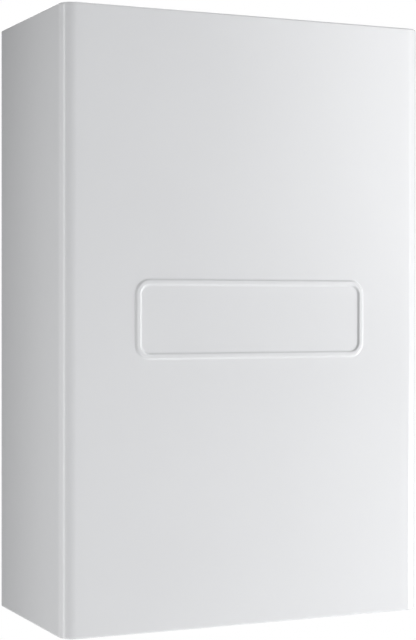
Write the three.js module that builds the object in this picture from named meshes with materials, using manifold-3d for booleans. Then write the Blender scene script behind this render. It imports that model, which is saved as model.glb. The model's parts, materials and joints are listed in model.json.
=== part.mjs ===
// A wall-hung combi boiler: one wrap-round casing over a rear frame that hangs on a wall rail.
// Millimetres, +Z up, +X to the right seen from the front, the wall at y = 0, the front facing -Y.
// The origin is the middle of the hanging rail's rear face.

import * as THREE from 'three';
import { mergeVertices } from 'three/addons/utils/BufferGeometryUtils.js';
import Module from 'manifold-3d';

const wasm = await Module();
wasm.setup();

// ---- fits and facets ----
const seatGap = 0.3;          // between fixed pieces that rest on each other
const slideGap = 0.6;         // between sheets that slide past each other
const holeGap = 0.5;          // round a pipe or stem in its hole
const spinGap = 0.4;          // round a turning shaft
const roundSides = 24;
const mediumSides = 16;
const smallSides = 10;
const hexSides = 6;
const cornerSteps = 4;
const edgeSteps = 2;          // on small rounded corners
const bendSteps = 3;
const cutThrough = 6;         // how far a cutter runs past the face that it opens

// ---- casing ----
const casingWidth = 481;
const casingHeight = 740;
const casingDepth = 237;
const casingSheet = 1.2;
const casingCornerRadius = 17.5;
const casingFoldRadius = 2.4;
const casingRimWidth = 20;
const casingHemLength = 12;
const casingFromWall = 2;
const railBelowTop = 60;
const beadFrameWidth = 309;
const beadFrameHeight = 97;
const beadFrameShiftX = 3;
const beadFrameShiftZ = 2;
const beadWidth = 9;
const beadRise = 1.9;
const beadSlope = 3;
const beadCornerRadius = 19;
const liningThickness = 5;
const liningSideMargin = 40;
const liningEndMargin = 60;

// ---- rear frame, rail and panels ----
const frameStandOff = 9;      // depth of the hollow that holds the hanging rail
const frameSheet = 1.2;
const railLength = 380;
const railSheet = 2.5;
const railStripHeight = 50;
const railLipHeight = 20;
const railStep = 5;
const railSlotLength = 24;
const railSlotWidth = 8;
const railSlotSpacing = 110;
const hookLength = 360;
const hookSheet = 1.5;
const hookDrop = 17;
const panelSheet = 1.2;
const panelFrontRoom = 13;    // from the casing's front to the panels' front edges
const panelFlange = 15;

// ---- flue and air inlet ----
const flueRadius = 30;
const flueWall = 1.2;
const flueRise = 15;          // above the top panel
const airRingRadius = 50;
const collarFlangeRadius = 66;
const collarFlangeSheet = 2.5;
const collarWall = 1.5;
const collarSkirt = 14;
const inletCoverRadius = 42;
const inletHoleRadius = 32;
const inletCoverSheet = 2.5;
const inletCoverX = -110;

// ---- heat cell ----
const cellX = 45;
const cellRadius = 108;
const cellWall = 2.5;
const cellDepth = 114;
const cellFromFrame = 26;
const cellTopRoom = 54;       // from the top panel to the shell
const cellFlangeRadius = 114;
const cellFlangeDepth = 4;
const cellHatWidth = 130;
const cellHatHeight = 50;
const cellBossRadius = 13;
const cellBossLength = 12;
const flowBossX = -54;        // measured from the cell's axis
const returnBossX = 80;
const drainBossX = 35;
const waterBossDepth = 24;    // from the shell's back
const drainBossDepth = 59;
const coreInnerRadius = 64;
const coreRibs = 4;
const coreGroove = 5;
const coreEndRoom = 3;
const insulationDepth = 9;
const burnerRadius = 32;
const burnerWall = 1;
const burnerFlangeRadius = 40;
const burnerFlangeDepth = 1.5;
const burnerLength = 75;
const doorRadius = 112;
const doorDepth = 8;
const doorHoleRadius = 26;
const doorSeatRadius = 44;
const doorSeatDepth = 5;
const doorBossCount = 6;
const doorBossRadius = 7;
const doorBossDepth = 4;
const electrodeReach = 54;    // from the cell's axis
const electrodeAngle = 40;    // degrees above the horizontal
const electrodeRadius = 5;
const electrodeFlangeRadius = 9;
const electrodeFlangeDepth = 3;
const electrodeOut = 20;
const electrodeIn = 20;
const sparkRodRadius = 1.4;
const sparkRodLength = 18;
const transformerX = 197;
const transformerZ = -45;
const transformerWidth = 56;
const transformerDepth = 48;
const transformerHeight = 50;
const leadRadius = 3;
const leadBend = 12;

// ---- fan, mixer and gas ----
const fanX = 28;
const fanBelowCell = 86;      // from the shell's lowest line to the fan's axis
const fanBaseRadius = 52;
const fanGrowth = 14;         // how much the scroll's radius grows in one turn
const fanCavityRadius = 48.5;
const fanDepth = 38;
const fanWall = 3;
const fanBehindDuct = 4;      // the fan's back lies this far behind the duct's back
const fanOutletWidth = 40;
const fanOutletRise = 67;     // from the axis to the outlet's top
const fanInletRadius = 22;
const fanEyeRadius = 20;
const fanSteps = 24;
const impellerDepth = 24;
const impellerBlades = 9;
const impellerRoom = 2.5;
const impellerHubRadius = 11;
const impellerBladeWidth = 3;
const fanShaftRadius = 4;
const fanShaftLength = 18;
const fanMotorRadius = 40;
const fanMotorDepth = 30;
const fanMotorStep = 4;
const ductDepth = 34;
const ductWall = 3;
const ductHeadRadius = 37;
const venturiLength = 48;
const venturiFlangeRadius = 34;
const venturiFlangeDepth = 4;
const venturiRadius = 30;
const venturiThroat = 14;
const silencerRadius = 24;
const silencerWall = 2.5;
const silencerBend = 30;
const silencerX = -100;
const silencerRise = 155;
const silencerBack = 40;      // from the venturi's end to the silencer's run
const valveX = 182;
const valveWidth = 60;
const valveDepth = 66;
const valveHeight = 100;
const valveRearY = -122;
const valveTopAboveFan = 33;
const valveCoilRadius = 16;
const valveCoilHeight = 30;
const injectorRadius = 7;
const gasPipeRadius = 8;
const gasPipeBend = 22;
const gasRunAbovePump = 76;

// ---- expansion vessel ----
const vesselWidth = 92;
const vesselDepth = 194;
const vesselHeight = 390;
const vesselSideRoom = 11;
const vesselFromFrame = 12;
const vesselTopRoom = 17;
const vesselWall = 2;
const vesselCornerRadius = 42;
const vesselRounding = 16;
const seamThickness = 3;
const seamRise = 4;
const vesselBossRadius = 9;
const vesselBossLength = 8;
const vesselBoreRadius = 1.6;
const vesselBossX = 22;       // from the vessel's middle
const vesselBossBack = 32;    // from the vessel's back
const vesselHatWidth = 60;
const vesselHatHeight = 60;
const vesselHatDrop = 190;
const hoseRadius = 7;
const hoseBend = 14;

// ---- pipe connections on the bottom panel, from left to right ----
const connectionPitch = 65;
const connectionMiddleX = 20;
const connectionY = -75;
const stubLength = 28;        // below the bottom panel
const heatingStubRadius = 13;
const waterStubRadius = 10;
const stubWall = 2.5;
const stubBoreDepth = 60;
const nutHeight = 9;
const nutRadiusOver = 5;      // the nut's corners beyond the pipe

// ---- hydraulic groups ----
const groupRaise = 37;        // from the bottom panel to the groups' undersides
const groupHeight = 57;
const groupDepth = 54;
const groupFrontY = -102;
const groupHalfWidth = 30;
const armRaise = 15;
const armFrontY = -92;
const armRearY = -30;
const armSeatFrontY = -58;
const armSeatRise = 23;       // the exchanger's seat above the groups' tops
const exchangerHalfLength = 76;
const exchangerMiddleX = 28;
const exchangerHeight = 72;
const exchangerRearY = -18;
const exchangerFrontY = -56;
const exchangerRibs = 5;
const exchangerRibDepth = 1.5;
const exchangerCornerRadius = 8;
const armSeatReach = 28;      // how far an arm runs under the exchanger
const diverterX = -95;
const diverterRadius = 16;
const diverterBoreRadius = 4.5;
const diverterRise = 34;
const spindleRadius = 4;
const spindleTravel = 6;
const diverterYoke = 21;
const diverterMotorWidth = 44;
const diverterMotorDepth = 44;
const diverterMotorHeight = 60;
const yokeLegWidth = 5;
const yokeLegDepth = 28;
const pipeRadius = 9;
const pipeBend = 14;
const pipeBackY = -30;
const flowDropX = -68;
const returnRiseX = 125;

// ---- pump ----
const voluteRadius = 48;
const voluteRearY = -62;
const voluteFrontY = -104;
const voluteWall = 8;
const rotorRadius = 34;
const rotorDepth = 14;
const rotorRoom = 4;
const rotorShaftRadius = 5;
const rotorShaftLength = 16;
const pumpMotorRadius = 44;
const pumpMotorLength = 86;
const pumpFins = 4;
const finDepth = 3;
const ventX = 33;             // from the pump's axis
const ventRadius = 12;
const ventRise = 82;
const ventCapRadius = 8;
const ventCapHeight = 9;
const ventStemRadius = 3;
const ventStemLength = 6;

// ---- valves, knobs and gauge ----
const safetyValveRadius = 13;
const safetyValveLength = 26;
const safetyOutletRadius = 8;
const safetyOutletRaise = 3;    // its end over the other pipe ends
const safetyValveZ = 28;      // above the group's underside
const knobStemRadius = 4;
const knobStemLength = 8;
const safetyKnobRadius = 15;
const safetyKnobLength = 18;
const fillingX = 100;
const fillingY = -112;
const fillingBodyRadius = 12;
const fillingBodyHeight = 26;
const fillingStemRadius = 5;
const fillingKnobRadius = 14;
const fillingKnobHeight = 18;
const knobRibs = 8;
const knobRibRadius = 3;
const turbineRadius = 7;
const turbineHeight = 9;
const turbineBlades = 4;
const turbineBladeWidth = 1.4;
const turbineHubRadius = 2.5;
const turbineRaise = 28;      // above the cold pipe's open end
const gaugeX = -45;
const gaugeY = -165;
const gaugeRadius = 21;
const gaugeBezelRadius = 24;
const gaugeBezelHeight = 4;
const gaugeHeight = 30;
const gaugeRecess = 6.5;
const gaugeRecessRadius = 19;
const needleLength = 15;
const needleWidth = 1.6;
const needleThickness = 1;
const needleHubRadius = 3;
const lensThickness = 1.4;

// ---- condensate ----
const trapX = 205;
const trapY = -42;
const trapRadius = 20;
const trapHeight = 178;
const trapPipeRadius = 9;
const trapPipeWall = 3;
const condensateRadius = 8;
const condensateDrop = 30;
const condensateEnd = 16;

// ---- control box and cable gland ----
const boxSideRoom = 11;
const boxWidth = 106;
const boxDepth = 148;
const boxHeight = 177;
const boxRearY = -66;
const boxBelowVessel = 41;
const boxWall = 2;
const boxRadius = 5;
const lidDepth = 6;
const standoffLength = 9;
const standoffRadius = 3;
const boardThickness = 1.6;
const boardMargin = 10;
const boardRows = 5;            // rows of parts up the board
const transformerShare = 0.36;  // lengths of the parts over the board's length
const relayShare = 0.23;
const plugShare = 0.39;
const boardSmallPart = 10;
const boardLargePart = 26;
const boardSeat = 1;            // how far each part is sunk into the board
const boxHatX = 10;
const boxHatWidth = 26;
const boxHatHeight = 140;
const buttonRadius = 6;
const buttonTravel = 2;
const buttonProud = 4;
const buttonCollar = 1.5;
const buttonLength = 16;
const switchWidth = 24;
const switchHeight = 15;
const switchDepth = 10;
const switchProud = 3;
const switchRoom = 1.1;
const displayWidth = 60;
const displayHeight = 30;
const displayRecess = 1;
const glandX = -180;
const glandY = -140;
const glandRadius = 7.7;
const glandBore = 4;
const glandHexRadius = 12;
const glandNutHeight = 5;
const glandHeadHeight = 12;

// ---- places that follow from the sizes above ----
const topZ = railBelowTop;
const bottomZ = topZ - casingHeight;
const casingRearY = -casingFromWall;
const casingFrontY = casingRearY - casingDepth;
const casingInnerY = casingFrontY + casingSheet;
const liningRearY = casingInnerY + seatGap + liningThickness;
const chassisHalf = casingWidth / 2 - casingSheet * 2 - slideGap;
const innerHalf = casingWidth / 2 - casingSheet;
const frameFrontY = -(frameStandOff + frameSheet);
const topPanelTop = topZ - casingSheet - slideGap;
const topPanelUnder = topPanelTop - panelSheet;
const bottomPanelUnder = bottomZ + casingSheet + slideGap;
const bottomPanelTop = bottomPanelUnder + panelSheet;
const panelFrontY = casingFrontY + panelFrontRoom;

const cellZ = topPanelUnder - cellTopRoom - cellRadius;
const cellRearY = frameFrontY - cellFromFrame;
const cellFrontY = cellRearY - cellDepth;
const cellLowZ = cellZ - cellRadius;
const doorRearY = cellFrontY - seatGap;
const doorFrontY = doorRearY - doorDepth;
const doorSeatY = doorFrontY - doorSeatDepth;
const ductRearY = doorSeatY - seatGap;
const ductFrontY = ductRearY - ductDepth;
const flueY = (cellRearY + cellFrontY) / 2;
const waterBossY = cellRearY - waterBossDepth;
const drainBossY = cellRearY - drainBossDepth;
const bossEndZ = cellLowZ - cellBossLength;

const fanZ = cellLowZ - fanBelowCell;
const fanRearY = ductRearY + fanBehindDuct;
const fanFrontY = fanRearY - fanDepth;
const fanOutletX = fanX + fanBaseRadius + fanGrowth - fanOutletWidth / 2;
const fanTopZ = fanZ + fanOutletRise;
const fanMotorFrontY = fanFrontY - seatGap - fanMotorDepth;
const venturiRearY = fanRearY + seatGap + venturiLength;
const injectorY = (fanRearY + venturiRearY) / 2;

const vesselX = -(innerHalf - vesselSideRoom - vesselWidth / 2);
const vesselRearY = frameFrontY - vesselFromFrame;
const vesselTopZ = topPanelUnder - vesselTopRoom;
const vesselLowZ = vesselTopZ - vesselHeight;
const vesselHoseX = vesselX + vesselBossX;
const vesselHoseY = vesselRearY - vesselBossBack;

const groupLowZ = bottomPanelTop + groupRaise;
const groupTopZ = groupLowZ + groupHeight;
const groupRearY = groupFrontY + groupDepth;
const armLowZ = groupLowZ + armRaise;
const exchangerLowZ = groupTopZ + armSeatRise + seatGap;
const stubEndZ = bottomPanelUnder - stubLength;
const flowX = connectionMiddleX - 2 * connectionPitch;
const hotWaterX = connectionMiddleX - connectionPitch;
const gasX = connectionMiddleX;
const coldWaterX = connectionMiddleX + connectionPitch;
const returnX = connectionMiddleX + 2 * connectionPitch;
const safetyZ = groupLowZ + safetyValveZ;

const pumpZ = groupTopZ + seatGap + voluteRadius;
const pumpMotorRearY = voluteFrontY - seatGap;
const gasRunZ = pumpZ + voluteRadius + gasRunAbovePump;
const valveTopZ = fanZ + valveTopAboveFan;
const valveLowZ = valveTopZ - valveHeight;

const boxLeftX = -(innerHalf - boxSideRoom);
const boxRightX = boxLeftX + boxWidth;
const boxTopZ = vesselLowZ - boxBelowVessel;
const boxLowZ = boxTopZ - boxHeight;
const boxFrontY = boxRearY - boxDepth;
const lidRearY = boxFrontY - seatGap;
const lidFrontY = lidRearY - lidDepth;
const boxMiddleX = (boxLeftX + boxRightX) / 2;

// ---- finishes ----
const finish = (color, roughness, metalness) => new THREE.MeshStandardMaterial({ color, roughness, metalness });
const whitePaint = () => finish(0xe3e3e5, 0.35, 0);
const galvanised = () => finish(0xb4b8ba, 0.45, 0.9);
const stainless = () => finish(0xc2c3c2, 0.3, 1);
const castAluminium = () => finish(0xa9acae, 0.5, 0.9);
const copper = () => finish(0xb8714a, 0.3, 1);
const brass = () => finish(0xb8954e, 0.35, 1);
const blackPlastic = () => finish(0x1c1d1f, 0.5, 0);
const greyPlastic = () => finish(0x8d9093, 0.55, 0);
const redPaint = () => finish(0x9c2018, 0.4, 0);
const ceramic = () => finish(0xe8e4da, 0.35, 0);
const fibre = () => finish(0xcfc7b4, 0.95, 0);
const foam = () => finish(0x3a3c3e, 0.95, 0);
const boardGreen = () => finish(0x1d5a36, 0.5, 0);
const clearPane = () => finish(0xdfe6e8, 0.05, 0);

// ---- joining and cutting ----
function toSolid(geometry) {
  const bare = geometry.index ? geometry.toNonIndexed() : geometry.clone();
  bare.deleteAttribute('normal');
  bare.deleteAttribute('uv');
  const merged = mergeVertices(bare);
  return new wasm.Manifold(new wasm.Mesh({
    numProp: 3,
    vertProperties: merged.attributes.position.array,
    triVerts: Uint32Array.from(merged.index.array),
  }));
}

function toGeometry(solid) {
  const mesh = solid.getMesh();
  const geometry = new THREE.BufferGeometry();
  geometry.setAttribute('position', new THREE.BufferAttribute(mesh.vertProperties, 3));
  geometry.setIndex(new THREE.BufferAttribute(mesh.triVerts, 1));
  geometry.computeVertexNormals();
  return geometry;
}

function join(...geometries) {
  return toGeometry(geometries.map(toSolid).reduce((body, piece) => body.add(piece)));
}

function cut(blank, ...tools) {
  return toGeometry(tools.map(toSolid).reduce((body, tool) => body.subtract(tool), toSolid(blank)));
}

// ---- basic shapes ----
function block(fromX, toX, fromY, toY, fromZ, toZ) {
  const box = new THREE.BoxGeometry(Math.abs(toX - fromX), Math.abs(toY - fromY), Math.abs(toZ - fromZ));
  return box.translate((fromX + toX) / 2, (fromY + toY) / 2, (fromZ + toZ) / 2);
}

function ringPoints(radius, sides, x = 0, y = 0) {
  const points = [];
  for (let i = 0; i < sides; i += 1) {
    const angle = (i + 0.5) * 2 * Math.PI / sides;
    points.push(new THREE.Vector2(x + radius * Math.cos(angle), y + radius * Math.sin(angle)));
  }
  return points;
}

function roundedPoints(width, height, radius, x = 0, y = 0, steps = cornerSteps) {
  const points = [];
  for (let corner = 0; corner < 4; corner += 1) {
    const signX = corner === 0 || corner === 3 ? 1 : -1;
    const signY = corner < 2 ? 1 : -1;
    for (let step = 0; step <= steps; step += 1) {
      const angle = (corner + step / steps) * Math.PI / 2;
      points.push(new THREE.Vector2(
        x + signX * (width / 2 - radius) + radius * Math.cos(angle),
        y + signY * (height / 2 - radius) + radius * Math.sin(angle),
      ));
    }
  }
  return points;
}

function outlineWithHole(outer, inner) {
  const shape = new THREE.Shape(outer);
  shape.holes.push(new THREE.Path(inner));
  return shape;
}

// An outline in the plan, raised from fromZ to toZ. A bevel tapers both ends by that much.
function raised(shape, fromZ, toZ, bevel = 0) {
  return new THREE.ExtrudeGeometry(shape, {
    depth: toZ - fromZ - 2 * bevel,
    bevelEnabled: bevel > 0,
    bevelThickness: bevel,
    bevelSize: bevel,
    bevelOffset: -bevel,
    bevelSegments: 2,
  }).translate(0, 0, fromZ + bevel);
}

// An outline seen from the front, as x and z, running forward from rearY to frontY.
function forward(shape, rearY, frontY, bevel = 0) {
  return raised(shape, -rearY, -frontY, bevel).rotateX(Math.PI / 2);
}

// An outline seen from the right side, as y and z, running across from fromX to toX.
function across(shape, fromX, toX, bevel = 0) {
  const turn = new THREE.Matrix4().makeBasis(
    new THREE.Vector3(0, 1, 0),
    new THREE.Vector3(0, 0, 1),
    new THREE.Vector3(1, 0, 0),
  );
  return raised(shape, fromX, toX, bevel).applyMatrix4(turn);
}

// A profile of [radius, height] pairs turned about an upright axis.
function turned(profile, x, y, sides = roundSides) {
  const points = profile.map(([radius, height]) => new THREE.Vector2(radius, height));
  if (THREE.ShapeUtils.area(points) < 0) {
    points.reverse();
  }
  const onAxis = points.findIndex((point, i) => point.x === 0 && points[(i + 1) % points.length].x === 0);
  const start = onAxis < 0 ? 0 : onAxis + 1;
  const ordered = [...points.slice(start), ...points.slice(0, start)];
  if (onAxis < 0) {
    ordered.push(ordered[0].clone());
  }
  const lathe = new THREE.LatheGeometry(ordered, sides);
  return lathe.rotateX(Math.PI / 2).translate(x, y, 0);
}

// A profile of [radius, y] pairs turned about an axis that runs from the wall to the front.
function turnedForward(profile, x, z, sides = roundSides) {
  const upright = turned(profile.map(([radius, y]) => [radius, -y]), 0, 0, sides);
  return upright.rotateX(Math.PI / 2).translate(x, 0, z);
}

const rodProfile = (radius, from, to) => [[0, from], [radius, from], [radius, to], [0, to]];
const tubeProfile = (radius, bore, from, to) => [[bore, from], [radius, from], [radius, to], [bore, to]];

function rodUp(radius, x, y, fromZ, toZ, sides = mediumSides) {
  return turned(rodProfile(radius, fromZ, toZ), x, y, sides);
}

function rodForward(radius, x, z, rearY, frontY, sides = mediumSides) {
  return turnedForward(rodProfile(radius, rearY, frontY), x, z, sides);
}

function rodAcross(radius, y, z, fromX, toX, sides = mediumSides) {
  return across(new THREE.Shape(ringPoints(radius, sides, y, z)), fromX, toX);
}

// A pipe's centre line: straight runs between corners, with an arc at each corner.
class PipeRoute extends THREE.Curve {
  constructor(corners, bendRadius) {
    super();
    this.stations = [];
    const points = corners.map((corner) => new THREE.Vector3(...corner));
    const last = points.length - 1;
    this.addStation(points[0], points[1].clone().sub(points[0]).normalize());
    for (let i = 1; i < last; i += 1) {
      this.addBend(points[i - 1], points[i], points[i + 1], bendRadius);
    }
    this.addStation(points[last], points[last].clone().sub(points[last - 1]).normalize());
  }

  addStation(point, tangent) {
    const previous = this.stations.at(-1);
    if (!previous || previous.point.distanceTo(point) > seatGap) {
      this.stations.push({ point, tangent });
    }
  }

  addBend(before, corner, after, bendRadius) {
    const into = corner.clone().sub(before).normalize();
    const out = after.clone().sub(corner).normalize();
    const turn = into.angleTo(out);
    const start = corner.clone().addScaledVector(into, -bendRadius * Math.tan(turn / 2));
    const inward = out.clone().addScaledVector(into, -Math.cos(turn)).normalize();
    for (let step = 0; step <= bendSteps; step += 1) {
      const angle = turn * step / bendSteps;
      const point = start.clone()
        .addScaledVector(into, bendRadius * Math.sin(angle))
        .addScaledVector(inward, bendRadius * (1 - Math.cos(angle)));
      const tangent = into.clone().multiplyScalar(Math.cos(angle)).addScaledVector(inward, Math.sin(angle));
      this.addStation(point, tangent);
    }
  }

  getPointAt(share) {
    return this.stations[Math.round(share * (this.stations.length - 1))].point.clone();
  }

  getTangentAt(share) {
    return this.stations[Math.round(share * (this.stations.length - 1))].tangent.clone();
  }

  getPoint(share) {
    return this.getPointAt(share);
  }
}

function pipe(corners, radius, bendRadius, sides = smallSides, bore = 0) {
  const route = new PipeRoute(corners, bendRadius);
  const outer = ringPoints(radius, sides);
  const shape = bore > 0 ? outlineWithHole(outer, ringPoints(bore, sides)) : new THREE.Shape(outer);
  return new THREE.ExtrudeGeometry(shape, { steps: route.stations.length - 1, extrudePath: route });
}

// ---- casing ----
function casingPlan(inset, rearY) {
  const half = casingWidth / 2 - inset;
  const radius = Math.max(casingCornerRadius - inset, casingSheet);
  const frontY = casingFrontY + inset;
  const points = [new THREE.Vector2(half, rearY), new THREE.Vector2(-half, rearY)];
  for (let corner = 0; corner < 2; corner += 1) {
    const side = corner === 0 ? -1 : 1;
    for (let step = 0; step <= cornerSteps; step += 1) {
      const angle = Math.PI + (corner + step / cornerSteps) * Math.PI / 2;
      points.push(new THREE.Vector2(
        side * (half - radius) + radius * Math.cos(angle),
        frontY + radius + radius * Math.sin(angle),
      ));
    }
  }
  return new THREE.Shape(points);
}

function beadRing(band, baseY) {
  const x = beadFrameShiftX;
  const z = (topZ + bottomZ) / 2 + beadFrameShiftZ;
  const trim = (beadWidth - band) / 2;
  const inner = 2 * (band + trim);
  const outline = outlineWithHole(
    roundedPoints(beadFrameWidth - 2 * trim, beadFrameHeight - 2 * trim, beadCornerRadius - trim, x, z),
    roundedPoints(beadFrameWidth - inner, beadFrameHeight - inner, beadCornerRadius - band - trim, x, z),
  );
  const ring = new THREE.ExtrudeGeometry(outline, {
    depth: casingSheet,
    bevelThickness: beadRise,
    bevelSize: beadSlope,
    bevelOffset: -beadSlope,
    bevelSegments: 1,
  });
  return ring.translate(0, 0, -baseY - casingSheet).rotateX(Math.PI / 2);
}

function frontCasing() {
  const behindY = casingRearY + cutThrough;
  const body = raised(casingPlan(0, behindY + cutThrough), bottomZ, topZ, casingFoldRadius);
  const hollow = raised(casingPlan(casingSheet, behindY), bottomZ + casingSheet, topZ - casingSheet);
  const hemFrontY = casingRearY - casingHemLength;
  const hems = [-1, 1].map((side) => block(
    side * (innerHalf - casingSheet), side * (innerHalf + casingSheet / 2),
    behindY + cutThrough, hemFrontY, bottomZ, topZ,
  ));
  const rim = raised(casingPlan(casingRimWidth, behindY + cutThrough), bottomZ - cutThrough, topZ + cutThrough);
  const rear = block(
    -casingWidth, casingWidth, casingRearY, behindY + 3 * cutThrough, bottomZ - cutThrough, topZ + cutThrough,
  );
  const pressed = join(body, beadRing(beadWidth, casingFrontY));
  const groove = beadRing(beadWidth - 2 * casingSheet, casingInnerY);
  return cut(pressed, cut(hollow, ...hems), groove, rim, rear);
}

function casingLining() {
  const half = casingWidth / 2 - liningSideMargin;
  const rearY = casingInnerY + seatGap + liningThickness;
  return block(-half, half, rearY, casingInnerY + seatGap, bottomZ + liningEndMargin, topZ - liningEndMargin);
}

// ---- rear frame, rail and panels ----
function wallBracket() {
  const half = railStripHeight / 2;
  const stepZ = half - railLipHeight;
  const profile = new THREE.Shape([
    new THREE.Vector2(0, -half),
    new THREE.Vector2(0, stepZ),
    new THREE.Vector2(-railStep, stepZ),
    new THREE.Vector2(-railStep, half),
    new THREE.Vector2(-railStep - railSheet, half),
    new THREE.Vector2(-railStep - railSheet, stepZ - railSheet),
    new THREE.Vector2(-railSheet, stepZ - railSheet),
    new THREE.Vector2(-railSheet, -half),
  ].reverse());
  const slots = [-1.5, -0.5, 0.5, 1.5].map((place) => forward(
    new THREE.Shape(roundedPoints(
      railSlotLength, railSlotWidth, railSlotWidth / 2 - seatGap, place * railSlotSpacing, -half / 2,
      edgeSteps,
    )),
    cutThrough, -cutThrough,
  ));
  return cut(across(profile, -railLength / 2, railLength / 2), ...slots);
}

function rearFrame() {
  const highZ = topPanelUnder - seatGap;
  const lowZ = bottomPanelTop + seatGap;
  const tray = cut(
    block(-chassisHalf, chassisHalf, 0, frameFrontY, lowZ, highZ),
    block(
      -chassisHalf + frameSheet, chassisHalf - frameSheet, cutThrough, -frameStandOff,
      lowZ + frameSheet, highZ - frameSheet,
    ),
  );
  const lipTopZ = railStripHeight / 2 + seatGap;
  const dropFrontY = -railStep + seatGap;
  const hook = new THREE.Shape([
    new THREE.Vector2(dropFrontY, lipTopZ - hookDrop),
    new THREE.Vector2(dropFrontY + hookSheet, lipTopZ - hookDrop),
    new THREE.Vector2(dropFrontY + hookSheet, lipTopZ + hookSheet),
    new THREE.Vector2(-frameStandOff - frameSheet / 2, lipTopZ + hookSheet),
    new THREE.Vector2(-frameStandOff - frameSheet / 2, lipTopZ),
    new THREE.Vector2(dropFrontY, lipTopZ),
  ]);
  return join(tray, across(hook, -hookLength / 2, hookLength / 2));
}

// A sheet with its side and front edges folded by the flange's length, up or down.
function foldedPanel(underZ, up) {
  const farZ = up ? underZ + panelSheet + panelFlange : underZ - panelFlange;
  const lowZ = Math.min(underZ, farZ);
  const highZ = Math.max(underZ + panelSheet, farZ);
  const flangeRearY = frameFrontY - seatGap;
  const inside = block(
    -chassisHalf + panelSheet, chassisHalf - panelSheet, cutThrough, panelFrontY + panelSheet,
    up ? underZ + panelSheet : lowZ - cutThrough, up ? highZ + cutThrough : underZ,
  );
  const frameNotch = block(
    -chassisHalf - cutThrough, chassisHalf + cutThrough, cutThrough, flangeRearY,
    up ? underZ + panelSheet : lowZ - cutThrough, up ? highZ + cutThrough : underZ,
  );
  return cut(block(-chassisHalf, chassisHalf, 0, panelFrontY, lowZ, highZ), inside, frameNotch);
}

function topPanel() {
  const holeFromZ = topPanelUnder - cutThrough;
  const holeToZ = topPanelTop + cutThrough;
  return cut(
    foldedPanel(topPanelUnder, false),
    rodUp(airRingRadius + holeGap, cellX, flueY, holeFromZ, holeToZ, roundSides),
    rodUp(inletHoleRadius, inletCoverX, flueY, holeFromZ, holeToZ, roundSides),
  );
}

function bottomPanel() {
  const holes = [
    [flowX, connectionY, heatingStubRadius],
    [hotWaterX, connectionY, waterStubRadius],
    [gasX, connectionY, gasPipeRadius],
    [coldWaterX, connectionY, waterStubRadius],
    [returnX, connectionY, heatingStubRadius],
    [returnX, safetyOutletY(), safetyOutletRadius],
    [fillingX, fillingY, fillingStemRadius],
    [trapX, trapY, trapPipeRadius],
    [glandX, glandY, glandRadius],
    [gaugeX, gaugeY, gaugeRadius],
  ].map(([x, y, radius]) => rodUp(
    radius + holeGap, x, y, bottomPanelUnder - cutThrough, bottomPanelTop + cutThrough,
  ));
  return cut(foldedPanel(bottomPanelUnder, true), ...holes);
}

// ---- flue and air inlet ----
function flueCollar() {
  const flangeZ = topPanelTop + seatGap;
  return turned([
    [airRingRadius, topPanelUnder - collarSkirt],
    [airRingRadius, flangeZ],
    [collarFlangeRadius, flangeZ],
    [collarFlangeRadius, flangeZ + collarFlangeSheet],
    [airRingRadius, flangeZ + collarFlangeSheet],
    [airRingRadius, topPanelTop + flueRise],
    [airRingRadius - collarWall, topPanelTop + flueRise],
    [airRingRadius - collarWall, topPanelUnder - collarSkirt],
  ], cellX, flueY);
}

function flueDuct() {
  const tube = turned(
    tubeProfile(flueRadius, flueRadius - flueWall, cellZ, topPanelTop + flueRise), cellX, flueY,
  );
  const overShell = cellRadius + seatGap;
  return cut(tube, rodForward(overShell, cellX, cellZ, cellRearY + cutThrough, cellFrontY - cutThrough, roundSides));
}

function airInletCover() {
  const seatZ = topPanelTop + seatGap;
  const edge = inletCoverSheet / 2;
  return turned([
    [0, seatZ],
    [inletCoverRadius, seatZ],
    [inletCoverRadius, seatZ + edge],
    [inletCoverRadius - edge, seatZ + inletCoverSheet],
    [0, seatZ + inletCoverSheet],
  ], inletCoverX, flueY);
}

// ---- heat cell ----
// A hat-section bracket between the rear frame and what stands in front of it.
function hatBracket(fromX, toX, fromZ, toZ, seatY) {
  const rearY = frameFrontY - seatGap;
  const frontY = seatY + seatGap;
  const sheet = 2 * frameSheet;
  return cut(
    block(fromX, toX, rearY, frontY, fromZ, toZ),
    block(fromX - cutThrough, toX + cutThrough, rearY + cutThrough, frontY + sheet, fromZ + sheet, toZ - sheet),
  );
}

function heatCellBracket() {
  const half = cellHatWidth / 2;
  return hatBracket(cellX - half, cellX + half, cellZ - cellHatHeight / 2, cellZ + cellHatHeight / 2, cellRearY);
}

function heatCellShell() {
  const bosses = [
    [flowBossX, waterBossY],
    [returnBossX, waterBossY],
    [drainBossX, drainBossY],
  ].map(([fromAxis, y]) => rodUp(cellBossRadius, cellX + fromAxis, y, bossEndZ, cellZ));
  const outside = turnedForward([
    [0, cellRearY],
    [cellRadius, cellRearY],
    [cellRadius, cellFrontY + cellFlangeDepth],
    [cellFlangeRadius, cellFrontY + cellFlangeDepth],
    [cellFlangeRadius, cellFrontY],
    [0, cellFrontY],
  ], cellX, cellZ);
  const inside = rodForward(
    cellRadius - cellWall, cellX, cellZ, cellRearY - cellWall, cellFrontY - cutThrough, roundSides,
  );
  const flueHole = rodUp(flueRadius - flueWall, cellX, flueY, cellZ, cellZ + cellRadius + cutThrough);
  return cut(join(outside, ...bosses), inside, flueHole);
}

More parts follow.
